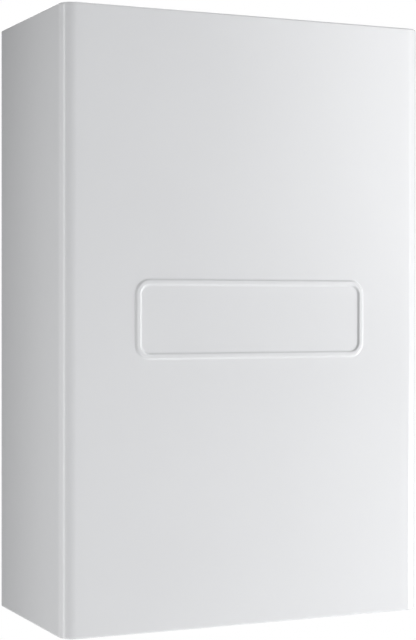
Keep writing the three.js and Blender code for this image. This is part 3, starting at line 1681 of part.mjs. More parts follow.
add('wall_bracket', wallBracket(), galvanised());
add('rear_frame', rearFrame(), galvanised());
add('top_panel', topPanel(), whitePaint());
add('bottom_panel', bottomPanel(), whitePaint());
add('flue_collar', flueCollar(), whitePaint());
add('flue_duct', flueDuct(), castAluminium());
add('air_inlet_cover', airInletCover(), whitePaint());
add('heat_cell_bracket', heatCellBracket(), galvanised());
add('heat_cell_shell', heatCellShell(), stainless());
add('heat_exchanger_core', heatExchangerCore(), castAluminium());
add('door_insulation', doorInsulation(), fibre());
add('burner_tube', burnerTube(), stainless());
add('burner_door', burnerDoor(), castAluminium());
add('ignition_electrode', electrode(1), ceramic());
add('flame_sensor', electrode(-1), ceramic());
add('ignition_transformer', ignitionTransformer(), blackPlastic());
add('ignition_lead', ignitionLead(), redPaint());
add('fan_housing', fanHousing(), castAluminium());
add('fan_motor', fanMotor(), blackPlastic());
add('fan_impeller', fanImpeller(), castAluminium());
add('mixing_duct', mixingDuct(), castAluminium());
add('venturi', venturi(), castAluminium());
add('air_silencer', airSilencer(), blackPlastic());
add('gas_valve', gasValve(), castAluminium());
add('gas_injector_pipe', gasInjectorPipe(), castAluminium());
add('gas_pipe', gasPipe(), copper());
add('expansion_vessel', expansionVessel(), redPaint());
add('vessel_bracket', vesselBracket(), galvanised());
add('vessel_hose', vesselHose(), greyPlastic());
add('flow_group', flowGroup(), brass());
add('return_group', returnGroup(), brass());
add('cold_inlet', coldInlet(), brass());
add('flow_turbine', flowTurbine(), greyPlastic());
add('plate_heat_exchanger', plateHeatExchanger(), stainless());
add('flow_pipe', flowPipe(), copper());
add('return_pipe', returnPipe(), copper());
add('pump_housing', pumpHousing(), blackPlastic());
add('pump_impeller', pumpImpeller(), greyPlastic());
add('pump_motor', pumpMotor(), castAluminium());
add('air_vent_cap', ventCap(), blackPlastic());
add('diverter_spindle', diverterSpindle(), brass());
add('diverter_motor', diverterMotor(), blackPlastic());
add('safety_valve_knob', safetyKnob(), redPaint());
add('filling_knob', fillingKnob(), blackPlastic());
add('pressure_gauge', pressureGauge(), blackPlastic());
add('gauge_needle', gaugeNeedle(), redPaint());
add('gauge_lens', gaugeLens(), clearPane());
add('condensate_hose', condensateHose(), greyPlastic());
add('condensate_trap', condensateTrap(), greyPlastic());
add('control_box_bracket', controlBoxBracket(), galvanised());
add('control_box_base', controlBoxBase(), greyPlastic());
add('control_box_lid', controlBoxLid(), greyPlastic());
add('circuit_board', circuitBoard(), boardGreen());
add('reset_button', resetButton(), blackPlastic());
add('power_switch', powerSwitch(), blackPlastic());
add('cable_gland', cableGland(), blackPlastic());
add('front_casing', frontCasing(), whitePaint());
add('casing_lining', casingLining(), foam());

export default boiler;
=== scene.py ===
"""A wall-hung combi boiler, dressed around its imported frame.

Every length is in metres, in the frame's own axes: +Z up, +X to the right seen from the front, and the
casing's front faces -Y. The wall is the plane y = 0.
"""

import json
import math

import bmesh
import bpy
from bpy.props import FloatProperty, FloatVectorProperty, IntProperty, PointerProperty
from mathutils import Matrix, Vector


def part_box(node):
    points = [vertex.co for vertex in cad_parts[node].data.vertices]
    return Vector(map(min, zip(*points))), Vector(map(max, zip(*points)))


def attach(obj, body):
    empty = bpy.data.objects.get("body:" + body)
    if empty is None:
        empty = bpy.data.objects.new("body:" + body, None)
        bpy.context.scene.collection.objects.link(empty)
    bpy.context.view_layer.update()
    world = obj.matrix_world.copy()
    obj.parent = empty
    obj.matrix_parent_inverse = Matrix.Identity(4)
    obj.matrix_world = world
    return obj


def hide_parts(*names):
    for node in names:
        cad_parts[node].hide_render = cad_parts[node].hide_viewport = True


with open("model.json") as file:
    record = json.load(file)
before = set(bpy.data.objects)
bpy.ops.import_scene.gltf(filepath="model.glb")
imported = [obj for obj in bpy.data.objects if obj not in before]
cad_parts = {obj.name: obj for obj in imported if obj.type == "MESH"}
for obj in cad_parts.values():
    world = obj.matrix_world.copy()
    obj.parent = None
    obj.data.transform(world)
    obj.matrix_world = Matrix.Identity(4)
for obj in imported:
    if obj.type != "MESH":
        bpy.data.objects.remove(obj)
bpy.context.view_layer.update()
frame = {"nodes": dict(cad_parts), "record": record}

bl_info = {
    "name": "Combi boiler",
    "version": (1, 0, 0),
    "blender": (4, 5, 0),
    "location": "3D View > Sidebar > Boiler",
    "description": "Dresses the packed frame of a wall-hung combi boiler",
    "category": "Object",
}

MM = 0.001
CASING_LOW, CASING_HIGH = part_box("front_casing")
SLOT_OF_NODE = {part["node"]: part["material_slot"] for part in frame["record"]["subparts"]}
CHASSIS = "chassis"            # the body that most pieces ride on
NOSE_RADIUS = 1.2 * MM         # the hem at each side's rear edge
SMOOTH_ANGLE = math.radians(35)
CASING_SMOOTH_ANGLE = math.radians(40)
HOSE_SMOOTH_ANGLE = math.radians(50)
MERGE_DISTANCE = 1e-7
BEND_STEPS = 6                 # points round each bend of a hose
LEG_SHARE = 0.49               # of a straight leg, that one bend may take
STRAIGHT = 0.02                # radians, under which a corner is no bend
FONT_SIZE_OVER_HEIGHT = 1.4    # a figure's font size over its height
FIGURE_THICKNESS = 0.03 * MM
FIGURE_RESOLUTION = 4
HOSE_SIDES = 12
SCREW_SIDES, NUT_SIDES = 20, 6
# Parts of a screw's head: heights over its rise, widths over its radius.
SKIRT_HEIGHT, CROWN_BASE, CROWN_HEIGHT = 0.62, 0.6, 0.4
CROWN_FOOT, CROWN_TOP, RECESS_LENGTH = 0.998, 0.72, 1.15


# Middles that several pieces share, in millimetres.
FRONT, REAR, UP, DOWN, RIGHT = (0, -1, 0), (0, 1, 0), (0, 0, 1), (0, 0, -1), (1, 0, 0)
CELL = (45.0, -105.0)          # x and z of the heat cell's axis
FLUE = (45.0, -93.2)           # x and y of the flue's axis
INLET = (-110.0, -93.2)        # x and y of the air inlet's axis
FAN = (28.0, -299.0)           # x and z of the fan's axis
PUMP = (150.0, -534.7)         # x and z of the pump's axis
SPEED_KNOB = (204, -540)       # x and z of the pump's speed knob
GAUGE = (-45.0, -165.0)        # x and y of the gauge's axis
BOX_MIDDLE = -175.3            # x of the control box's middle
TRAP = (205, -42)              # x and y of the condensate trap's axis
PIPES = ((-110, 13), (-45, 10), (20, 8), (85, 10), (150, 13))  # x and radius of each pipe end
PIPE_Y = -75
LOOM_Y, LOOM_Z = -178, -400    # the wiring loom's level run

finishes = {}                  # filled by make_finishes


# ---- settings ----
class CasingSizes(bpy.types.PropertyGroup):
    """Sizes of the wrap-round casing."""

    width: FloatProperty(name="Width", description="Outside width of the casing",
                         default=0.481, unit="LENGTH")
    depth: FloatProperty(name="Depth", description="From the rear edges to the flat front",
                         default=0.237, unit="LENGTH")
    sheet: FloatProperty(name="Sheet", description="Thickness of the steel sheet",
                         default=1.2 * MM, unit="LENGTH")
    corner_radius: FloatProperty(name="Corner radius", description="Radius of the two front corners",
                                 default=17.5 * MM, unit="LENGTH")
    fold_radius: FloatProperty(name="Fold radius", description="Radius of the top and bottom folds",
                               default=2.4 * MM, unit="LENGTH")
    rim_width: FloatProperty(name="Rim width", description="Width of the turned-in rims",
                             default=20 * MM, unit="LENGTH")
    bead_frame_width: FloatProperty(name="Bead frame width", description="Outside width of the bead frame",
                                    default=0.309, unit="LENGTH")
    bead_frame_height: FloatProperty(name="Bead frame height", description="Outside height of the bead frame",
                                     default=0.097, unit="LENGTH")
    bead_frame_x: FloatProperty(name="Bead frame X", description="Middle of the bead frame, to the right",
                                default=3 * MM, unit="LENGTH")
    bead_frame_z: FloatProperty(name="Bead frame Z", description="Middle of the bead frame, up",
                                default=-0.308, unit="LENGTH")
    bead_width: FloatProperty(name="Bead width", description="Width of the pressed bead",
                              default=9 * MM, unit="LENGTH")
    bead_rise: FloatProperty(name="Bead rise", description="How far the bead stands proud",
                             default=1.9 * MM, unit="LENGTH")
    bead_slope: FloatProperty(name="Bead slope", description="Width of each sloping side of the bead",
                              default=3 * MM, unit="LENGTH")
    bead_corner: FloatProperty(name="Bead corner", description="Outer corner radius of the bead frame",
                               default=19 * MM, unit="LENGTH")
    corner_steps: IntProperty(name="Corner steps", description="Facets round each front corner",
                              default=20, min=4, max=64)


class FinishColours(bpy.types.PropertyGroup):
    """Colours of the main finishes."""

    white: FloatVectorProperty(name="White paint", description="Enamel of the casing and panels",
                               default=(0.80, 0.805, 0.815), subtype="COLOR", size=3)
    galvanised: FloatVectorProperty(name="Galvanised", description="Zinc-coated sheet",
                                    default=(0.68, 0.69, 0.70), subtype="COLOR", size=3)
    copper: FloatVectorProperty(name="Copper", description="Drawn copper pipe",
                                default=(0.78, 0.36, 0.2), subtype="COLOR", size=3)
    brass: FloatVectorProperty(name="Brass", description="Forged brass bodies",
                               default=(0.72, 0.52, 0.24), subtype="COLOR", size=3)
    vessel: FloatVectorProperty(name="Vessel red", description="Powder coat of the expansion vessel",
                                default=(0.42, 0.03, 0.02), subtype="COLOR", size=3)


class StageSettings(bpy.types.PropertyGroup):
    """The camera, the lights and the floor."""

    lens: FloatProperty(name="Lens", description="Focal length in millimetres on a 36 mm sensor",
                        default=93.3)
    camera_place: FloatVectorProperty(name="Camera place", description="Where the camera stands",
                                      default=(-0.8838, -2.0514, -0.2865), subtype="TRANSLATION", size=3)
    camera_yaw: FloatProperty(name="Camera yaw", description="Turn to the right from facing the wall",
                              default=math.radians(24.53), subtype="ANGLE")
    camera_pitch: FloatProperty(name="Camera pitch", description="Turn upwards from level",
                                default=math.radians(-0.65), subtype="ANGLE")
    camera_roll: FloatProperty(name="Camera roll", description="Turn about the line of sight",
                               default=math.radians(0.08), subtype="ANGLE")
    key_power: FloatProperty(name="Key power", description="Power of the large light at the right front",
                             default=58.5, subtype="POWER")
    left_power: FloatProperty(name="Left power", description="Power of the narrow light at the left",
                              default=1.75, subtype="POWER")
    right_power: FloatProperty(name="Right power", description="Power of the narrow light at the right",
                               default=1.8, subtype="POWER")
    low_power: FloatProperty(name="Low power", description="Power of the light near the floor",
                             default=12.0, subtype="POWER")
    top_power: FloatProperty(name="Overhead power", description="Power of the light above the boiler",
                             default=12.0, subtype="POWER")
    back_power: FloatProperty(name="Back power", description="Power of the light behind the boiler",
                              default=18.0, subtype="POWER")
    sky_light: FloatProperty(name="Sky light", description="Strength of the soft light from all round",
                             default=0.225)
    sky_slope: FloatProperty(name="Sky slope", description="How much stronger it is from the right front",
                             default=0.12)
    floor_drop: FloatProperty(name="Floor drop", description="From the hanging rail down to the floor",
                              default=1.5, unit="LENGTH")
    floor_size: FloatProperty(name="Floor size", description="Side of the square floor",
                              default=6.0, unit="LENGTH")


class ScrewSizes(bpy.types.PropertyGroup):
    """Sizes that every small screw shares, as shares of its head's radius."""

    recess_width: FloatProperty(name="Recess width", description="Width of the cross over the radius",
                                default=0.24)
    recess_depth: FloatProperty(name="Recess depth", description="Depth of the cross over the radius",
                                default=0.3)


# ---- shapes ----
def smoothstep(share):
    """Rises gently from 0 to 1."""
    share = min(max(share, 0.0), 1.0)
    return share * share * (3 - 2 * share)


def add_piece(name, finish, shape, body=CHASSIS, replaces=(), smooth=SMOOTH_ANGLE):
    """Turns a mesh, or a bmesh that it uses up, into a piece that rides on a body."""
    mesh = shape
    if isinstance(shape, bmesh.types.BMesh):
        mesh = bpy.data.meshes.new(name)
        shape.to_mesh(mesh)
        shape.free()
    mesh.shade_smooth()
    mesh.set_sharp_from_angle(angle=smooth)
    if not mesh.materials:
        mesh.materials.append(finishes[finish])
    piece = bpy.data.objects.new(name, mesh)
    bpy.context.scene.collection.objects.link(piece)
    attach(piece, body)
    if replaces:
        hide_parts(*replaces)


def stand_in(name, node, shape, body=CHASSIS, smooth=SMOOTH_ANGLE):
    """Adds a piece that replaces a CAD node, in the finish named after the node's slot."""
    slot = SLOT_OF_NODE[node]
    add_piece(name, slot, shape, body=body, replaces=[node], smooth=smooth)


def at(x, y, z):
    """A point given in millimetres."""
    return Vector((x, y, z)) * MM


def outward(bm):
    """Merges doubles and turns every face of a closed shape outwards."""
    bmesh.ops.remove_doubles(bm, verts=bm.verts, dist=MERGE_DISTANCE)
    bmesh.ops.recalc_face_normals(bm, faces=bm.faces)
    return bm


def grid_faces(bm, rows, closed=False, flip=False):
    """Joins rows of vertices with four-sided faces."""
    for row, following in zip(rows, rows[1:]):
        count = len(row)
        for i in range(count if closed else count - 1):
            j = (i + 1) % count
            corners = list(dict.fromkeys([row[i], row[j], following[j], following[i]]))
            if len(corners) > 2:
                bm.faces.new(corners[::-1] if flip else corners)


def axis_matrix(centre, axis):
    """Carries +Z to the axis and the origin to the centre."""
    forward = Vector(axis).normalized()
    side = Vector((1, 0, 0)) if abs(forward.x) < 0.9 else Vector((0, 1, 0))
    across = side - forward * side.dot(forward)
    across.normalize()
    return Matrix.Translation(centre) @ Matrix((across, forward.cross(across), forward)).transposed().to_4x4()


def turned(bm, profile, centre, axis, sides, ring=False):
    """A solid of revolution from (radius, height) in millimetres; a ring is closed on itself."""
    place = axis_matrix(at(*centre), axis)
    rows = []
    for radius, height in profile:
        if radius == 0:
            rows.append([bm.verts.new(place @ at(0, 0, height))] * sides)
            continue
        rows.append([
            bm.verts.new(place @ at(radius * math.cos(turn), radius * math.sin(turn), height))
            for turn in (2 * math.pi * k / sides for k in range(sides))
        ])
    grid_faces(bm, rows + rows[:1] if ring else rows, closed=True)


def moulding(bm, low, high, edge):
    """A box between two corners in millimetres, with its edges rounded."""
    low, high = at(*low), at(*high)
    place = Matrix.Translation((low + high) / 2) @ Matrix.Diagonal((*(high - low), 1.0))
    made = bmesh.ops.create_cube(bm, size=1.0, matrix=place)["verts"]
    edges = list(dict.fromkeys(edge_of for vertex in made for edge_of in vertex.link_edges))
    bmesh.ops.bevel(bm, geom=edges, offset=edge * MM, segments=2, affect="EDGES", profile=0.5)


def band(inside, thickness, half_width):
    """The profile of a plain ring, in millimetres."""
    outside = inside + thickness
    return (inside, -half_width), (outside, -half_width), (outside, half_width), (inside, half_width)


def polar(centre, radius, angle):
    """A point round a centre, in the plane that the two numbers stand for."""
    turn = math.radians(angle)
    return centre[0] + radius * math.cos(turn), centre[1] + radius * math.sin(turn)


def rounded_route(corners, bend):
    """A path in metres through corners in millimetres, with an arc at each bend."""
    corners = [at(*corner) for corner in corners]
    bend = bend * MM
    points = [corners[0]]
    for before, corner, after in zip(corners, corners[1:], corners[2:]):
        into = (corner - before).normalized()
        out = (after - corner).normalized()
        turn = into.angle(out)
        if turn < STRAIGHT:
            continue
        shorter_leg = min((corner - before).length, (after - corner).length)
        reach = min(bend * math.tan(turn / 2), shorter_leg * LEG_SHARE)
        start, end = corner - into * reach, corner + out * reach
        for k in range(BEND_STEPS + 1):
            t = k / BEND_STEPS
            points.append(start * (1 - t) ** 2 + corner * 2 * t * (1 - t) + end * t ** 2)
    points.append(corners[-1])
    return points


def lettering(bm, text, height, place):
    """Adds generic lettering, a given number of millimetres high, to a mesh."""
    curve = bpy.data.curves.new("lettering", "FONT")
    curve.body = text
    curve.size = height * FONT_SIZE_OVER_HEIGHT * MM
    curve.align_x, curve.align_y = "CENTER", "CENTER"
    curve.extrude = FIGURE_THICKNESS
    curve.resolution_u = FIGURE_RESOLUTION
    holder = bpy.data.objects.new("lettering", curve)
    bpy.context.scene.collection.objects.link(holder)
    bpy.context.view_layer.update()
    graph = bpy.context.evaluated_depsgraph_get()
    mesh = bpy.data.meshes.new_from_object(holder.evaluated_get(graph), depsgraph=graph)
    mesh.transform(place)
    bm.from_mesh(mesh)
    bpy.data.objects.remove(holder)
    bpy.data.curves.remove(curve)
    bpy.data.meshes.remove(mesh)


# ---- finishes ----
class Finish:
    """Builds one node material, with its colour, roughness and bump from patterns on Object coordinates."""

    def __init__(self, name):
        self.material = bpy.data.materials.new(name)
        self.material.use_nodes = True
        self.tree = self.material.node_tree
        self.shader = self.tree.nodes["Principled BSDF"]
        self.coordinates = self.tree.nodes.new("ShaderNodeTexCoord").outputs["Object"]
        self.bump_normal = None

    def node(self, kind, inputs=None, **settings):
        """Adds a node, links or sets its inputs, and sets its own settings."""
        made = self.tree.nodes.new(kind)
        for key, value in settings.items():
            setattr(made, key, value)
        for key, value in (inputs or {}).items():
            if isinstance(value, bpy.types.NodeSocket):
                self.tree.links.new(value, made.inputs[key])
            else:
                made.inputs[key].default_value = value
        return made

    def stretched(self, scale):
        """Object coordinates with their own scale on each axis."""
        return self.node("ShaderNodeMapping", {"Vector": self.coordinates, "Scale": scale}).outputs["Vector"]

    def noise(self, scale, detail=3.0, rough=0.55, vector=None, distortion=0.0):
        """Cloudy noise from 0 to 1."""
        return self.node("ShaderNodeTexNoise", {
            "Vector": vector or self.coordinates, "Scale": scale, "Detail": detail,
            "Roughness": rough, "Distortion": distortion,
        }).outputs["Fac"]

    def cells(self, scale, output="Distance"):
        """Crystals or pores."""
        return self.node("ShaderNodeTexVoronoi", {"Vector": self.coordinates, "Scale": scale}).outputs[output]

    def ramp(self, value, low, high, start=0.3, end=0.7):
        """A colour from low to high while the value goes from start to end."""
        made = self.node("ShaderNodeValToRGB", {"Fac": value})
        made.color_ramp.elements[0].position = start
        made.color_ramp.elements[1].position = end
        made.color_ramp.elements[0].color = (*low, 1.0)
        made.color_ramp.elements[1].color = (*high, 1.0)
        return made.outputs["Color"]

    def between(self, value, low, high, start=0.3, end=0.7):
        """A number from low to high while the value goes from start to end."""
        return self.node("ShaderNodeMapRange", {
            "Value": value, "From Min": start, "From Max": end, "To Min": low, "To Max": high,
        }).outputs["Result"]

    def mixed(self, share, first, second):
        """Two colours mixed in one share all over."""
        made = self.node("ShaderNodeMix", data_type="RGBA")
        made.inputs[0].default_value = share
        self.tree.links.new(first, made.inputs[6])
        self.tree.links.new(second, made.inputs[7])
        return made.outputs[2]

    def set(self, socket, value):
        """Links or sets one of the shader's own sockets."""
        if isinstance(value, bpy.types.NodeSocket):
            self.tree.links.new(value, self.shader.inputs[socket])
        else:
            self.shader.inputs[socket].default_value = value

    def bump(self, height, distance, strength):
        """Adds a layer of bump on top of those there are."""
        inputs = {"Height": height, "Distance": distance, "Strength": strength}
        if self.bump_normal is not None:
            inputs["Normal"] = self.bump_normal
        self.bump_normal = self.node("ShaderNodeBump", inputs).outputs["Normal"]
        self.set("Normal", self.bump_normal)


def tint(colour, factor):
    """A colour made darker or lighter."""
    return tuple(min(c * factor, 1.0) for c in colour)


def white_paint(colour):
    """Smooth oven-baked enamel with a faint orange peel and a very slight broad waviness of the sheet."""
    made = Finish("white_enamel")
    broad = made.noise(3.2, 2.0)
    made.set("Base Color", made.ramp(broad, tint(colour, 0.985), tint(colour, 1.01)))
    made.set("Roughness", made.between(made.noise(60.0), 0.22, 0.26))
    made.set("IOR", 1.5)
    made.bump(broad, 0.25 * MM, 0.5)
    made.bump(made.noise(420.0, 0.0), 0.004 * MM, 0.5)
    return made.material


def galvanised(colour):
    """Zinc-coated sheet with its fine crystals and a few cloudy places."""
    made = Finish("zinc_sheet")
    crystals = made.cells(340.0, output="Color")
    grey = made.node("ShaderNodeSeparateColor", {"Color": crystals}).outputs["Red"]
    fine = made.ramp(grey, tint(colour, 0.93), tint(colour, 1.05), 0.1, 0.9)
    cloud = made.ramp(made.noise(7.0, 4.0), tint(colour, 0.95), tint(colour, 1.03))
    made.set("Base Color", made.mixed(0.5, fine, cloud))
    made.set("Roughness", made.between(grey, 0.40, 0.50, 0.0, 1.0))
    made.set("Metallic", 0.85)
    made.bump(made.noise(700.0), 0.02 * MM, 0.5)
    return made.material


def stainless():
    """Rolled stainless sheet, brushed lengthwise."""
    made = Finish("stainless_sheet")
    grain = made.noise(120.0, 4.0, 0.6, made.stretched((1.0, 1.0, 22.0)))
    made.set("Base Color", made.ramp(grain, (0.54, 0.53, 0.51), (0.68, 0.67, 0.65)))
    made.set("Roughness", made.between(grain, 0.24, 0.38))
    made.set("Metallic", 1.0)
    made.bump(grain, 0.02 * MM, 0.6)
    return made.material


def cast_aluminium():
    """Die-cast aluminium with a fine sandy skin."""
    made = Finish("cast_aluminium")
    patches = made.noise(26.0, 4.0)
    made.set("Base Color", made.ramp(patches, (0.46, 0.465, 0.47), (0.60, 0.605, 0.61)))
    made.set("Roughness", made.between(made.noise(90.0), 0.42, 0.58))
    made.set("Metallic", 1.0)
    made.bump(made.noise(900.0, 2.0), 0.05 * MM, 0.7)
    return made.material


def copper(colour):
    """Drawn copper with darker patches of tarnish."""
    made = Finish("copper_pipe")
    tarnish = made.noise(34.0, 5.0, 0.6, distortion=0.6)
    made.set("Base Color", made.ramp(tarnish, tint(colour, 0.62), colour, 0.36, 0.6))
    made.set("Roughness", made.between(tarnish, 0.44, 0.24, 0.36, 0.6))
    made.set("Metallic", 1.0)
    made.bump(made.noise(240.0, 2.0, vector=made.stretched((1.0, 1.0, 0.2))), 0.01 * MM, 0.5)
    return made.material


def brass(colour):
    """Forged brass: matt skin with a few brighter places."""
    made = Finish("forged_brass")
    patches = made.noise(48.0, 4.0)
    made.set("Base Color", made.ramp(patches, tint(colour, 0.9), colour))
    made.set("Roughness", made.between(patches, 0.42, 0.34))
    made.set("Metallic", 1.0)
    made.bump(made.noise(800.0, 2.0), 0.03 * MM, 0.6)
    return made.material


def moulded(name, colour, rough, grain=0.03):
    """Moulded plastic with a fine spark-eroded grain."""
    made = Finish(name)
    made.set("Base Color", made.ramp(made.noise(20.0, 3.0), tint(colour, 0.92), tint(colour, 1.06)))
    made.set("Roughness", made.between(made.noise(70.0), rough - 0.04, rough + 0.06))
    made.bump(made.noise(1100.0, 2.0), grain * MM, 0.8)
    return made.material


def powder_coat(colour):
    """Powder coat on pressed steel, with its orange peel."""
    made = Finish("vessel_powder_coat")
    made.set("Base Color", made.ramp(made.noise(9.0, 3.0), tint(colour, 0.88), tint(colour, 1.1)))
    made.set("Roughness", made.between(made.noise(80.0), 0.34, 0.42))
    made.bump(made.noise(420.0, 2.0), 0.03 * MM, 0.8)
    return made.material


def silicone_lead():
    """Red silicone rubber of the ignition lead."""
    made = Finish("silicone_lead")
    made.set("Base Color", made.ramp(made.noise(60.0), (0.30, 0.03, 0.02), (0.38, 0.045, 0.03)))
    made.set("Roughness", made.between(made.noise(120.0), 0.5, 0.62))
    made.bump(made.noise(900.0), 0.02 * MM, 0.5)
    return made.material


def ceramic():
    """Off-white alumina of the electrodes."""
    made = Finish("alumina_ceramic")
    made.set("Base Color", made.ramp(made.noise(80.0), (0.74, 0.72, 0.66), (0.82, 0.80, 0.75)))
    made.set("Roughness", made.between(made.noise(160.0), 0.4, 0.52))
    made.bump(made.noise(1000.0), 0.02 * MM, 0.5)
    return made.material


def felted_fibre():
    """Pressed mineral fibre, matt and stringy."""
    made = Finish("pressed_fibre")
    strands = made.noise(260.0, 5.0, 0.7, distortion=1.2)
    made.set("Base Color", made.ramp(strands, (0.55, 0.50, 0.40), (0.76, 0.72, 0.62)))
    made.set("Roughness", made.between(strands, 0.85, 0.97))
    made.bump(strands, 0.35 * MM, 0.8)
    return made.material


def foam():
    """Open-cell sound-proofing foam."""
    made = Finish("open_cell_foam")
    pores = made.cells(620.0)
    made.set("Base Color", made.ramp(pores, (0.014, 0.015, 0.016), (0.06, 0.062, 0.066), 0.15, 0.6))
    made.set("Roughness", made.between(pores, 0.96, 0.85))
    made.bump(pores, 0.5 * MM, 0.8)
    return made.material


def circuit_board():
    """Green solder mask with paler tracks under it."""
    made = Finish("solder_mask")
    tracks = made.node("ShaderNodeTexBrick", {
        "Vector": made.stretched((0.0, 1.0, 1.0)), "Scale": 90.0, "Mortar Size": 0.02,
        "Color1": (0.012, 0.085, 0.035, 1.0), "Color2": (0.016, 0.105, 0.045, 1.0),
        "Mortar": (0.03, 0.17, 0.08, 1.0),
    })
    made.set("Base Color", tracks.outputs["Color"])
    made.set("Roughness", made.between(made.noise(90.0), 0.3, 0.4))
    made.bump(tracks.outputs["Fac"], 0.05 * MM, 0.5)
    return made.material


def clear_pane():
    """Clear plastic of the gauge's window."""
    made = Finish("clear_pane")
    made.set("Base Color", made.ramp(made.noise(30.0), (0.93, 0.96, 0.96), (0.97, 0.985, 0.985)))
    made.set("Roughness", made.between(made.noise(50.0), 0.02, 0.05))
    made.set("Transmission Weight", 1.0)
    made.set("IOR", 1.49)
    return made.material


def zinc_screws():
    """Bright zinc with a slight yellow cast."""
    made = Finish("zinc_plated_screws")
    made.set("Base Color", made.ramp(made.noise(150.0), (0.58, 0.57, 0.53), (0.74, 0.73, 0.68)))
    made.set("Roughness", made.between(made.noise(260.0), 0.24, 0.36))
    made.set("Metallic", 1.0)
    made.bump(made.noise(1500.0), 0.01 * MM, 0.5)
    return made.material


def stage_floor():
    """Pale floor that glows a little, and can be seen through from beneath."""
    made = Finish("stage_floor")
    made.set("Base Color", made.ramp(made.noise(1.2), (0.86, 0.86, 0.86), (0.88, 0.88, 0.88)))
    made.set("Roughness", made.between(made.noise(5.0), 0.7, 0.8))
    made.set("Emission Color", (1.0, 1.0, 1.0, 1.0))
    made.set("Emission Strength", 0.28)
    clear = made.node("ShaderNodeBsdfTransparent").outputs["BSDF"]
    beneath = made.node("ShaderNodeNewGeometry").outputs["Backfacing"]
    mix = made.node("ShaderNodeMixShader", {"Fac": beneath})
    made.tree.links.new(made.shader.outputs["BSDF"], mix.inputs[1])
    made.tree.links.new(clear, mix.inputs[2])
    made.tree.links.new(mix.outputs["Shader"], made.tree.nodes["Material Output"].inputs["Surface"])
    return made.material


def make_finishes():
    """Builds every finish under the name of its slot or of its own."""
    colours = bpy.context.scene.boiler_colours
    finishes.update({
        "white_paint": white_paint(colours.white),
        "galvanised": galvanised(colours.galvanised),
        "stainless": stainless(),
        "cast_aluminium": cast_aluminium(),
        "copper": copper(colours.copper),
        "brass": brass(colours.brass),
        "black_plastic": moulded("black_moulding", (0.022, 0.023, 0.026), 0.5),
        "grey_plastic": moulded("grey_moulding", (0.40, 0.41, 0.42), 0.45),
        "red_paint": powder_coat(colours.vessel),
        "red_plastic": moulded("red_moulding", (0.50, 0.025, 0.02), 0.38),
        "lead_rubber": silicone_lead(),
        "ceramic": ceramic(),
        "fibre": felted_fibre(),
        "foam": foam(),
        "board_green": circuit_board(),
        "clear_pane": clear_pane(),
        "screws": zinc_screws(),
        "dial_face": moulded("dial_face", (0.82, 0.82, 0.80), 0.45, 0.004),
        "dial_black": moulded("dial_black", (0.01, 0.01, 0.011), 0.5, 0.004),
        "dial_green": moulded("dial_green", (0.03, 0.30, 0.07), 0.5, 0.004),
        "dial_red": moulded("dial_red", (0.55, 0.02, 0.015), 0.5, 0.004),
        "rubber": moulded("seal_rubber", (0.018, 0.018, 0.019), 0.72),
        "white_plastic": moulded("white_moulding", (0.72, 0.72, 0.70), 0.4),
        "blue_plastic": moulded("blue_moulding", (0.02, 0.09, 0.32), 0.42),
        "display_glass": moulded("display_glass", (0.008, 0.010, 0.014), 0.10, 0.002),
    })


# ---- geometry nodes ----
def open_tree(name, **inputs):
    """A new tree with a geometry going in and out, and named inputs such as head_radius="Float"."""
    tree = bpy.data.node_groups.new(name, "GeometryNodeTree")
    tree.interface.new_socket("Geometry", in_out="INPUT", socket_type="NodeSocketGeometry")
    for label, kind in inputs.items():
        tree.interface.new_socket(label.replace("_", " ").capitalize(), in_out="INPUT",
                                  socket_type="NodeSocket" + kind)
    tree.interface.new_socket("Geometry", in_out="OUTPUT", socket_type="NodeSocketGeometry")
    return tree, tree.nodes.new("NodeGroupInput").outputs


def close_tree(tree, given, geometry):
    """Makes the instances real, gives them the finish and hands them on."""
    new, link = tree.nodes.new, tree.links.new
    real, painted = new("GeometryNodeRealizeInstances"), new("GeometryNodeSetMaterial")
    link(geometry, real.inputs["Geometry"])
    link(real.outputs["Geometry"], painted.inputs["Geometry"])
    link(given["Finish"], painted.inputs["Material"])
    link(painted.outputs["Geometry"], new("NodeGroupOutput").inputs["Geometry"])


def named_direction(tree, name):
    """The socket of a direction that is stored on the points."""
    read = tree.nodes.new("GeometryNodeInputNamedAttribute")
    read.data_type = "FLOAT_VECTOR"
    read.inputs["Name"].default_value = name
    return read.outputs["Attribute"]


def edge_softener():
    """Merges a CAD node's loose triangles and shades its rounds smooth, keeping its real edges sharp."""
    tree, given = open_tree("edge_softener", merge_distance="Float", sharp_angle="Float")
    new, link = tree.nodes.new, tree.links.new
    bare, merge = new("GeometryNodeRemoveAttribute"), new("GeometryNodeMergeByDistance")
    angle, below = new("GeometryNodeInputMeshEdgeAngle"), new("FunctionNodeCompare")
    faces, edges = new("GeometryNodeSetShadeSmooth"), new("GeometryNodeSetShadeSmooth")
    bare.inputs["Name"].default_value = "custom_normal"
    below.operation = "LESS_THAN"
    faces.domain, edges.domain = "FACE", "EDGE"
    link(given["Geometry"], bare.inputs["Geometry"])
    link(bare.outputs["Geometry"], merge.inputs["Geometry"])
    link(given["Merge distance"], merge.inputs["Distance"])
    link(angle.outputs["Unsigned Angle"], below.inputs["A"])
    link(given["Sharp angle"], below.inputs["B"])
    link(merge.outputs["Geometry"], faces.inputs["Geometry"])
    link(faces.outputs["Geometry"], edges.inputs["Geometry"])
    link(below.outputs["Result"], edges.inputs["Shade Smooth"])
    link(edges.outputs["Geometry"], new("NodeGroupOutput").inputs["Geometry"])
    return tree


def set_inputs(modifier, **values):
    """Sets a Geometry Nodes modifier's inputs by their sockets' identifiers."""
    for item in modifier.node_group.interface.items_tree:
        key = item.name.lower().replace(" ", "_")
        if item.item_type == "SOCKET" and item.in_out == "INPUT" and key in values:
            modifier[item.identifier] = values[key]


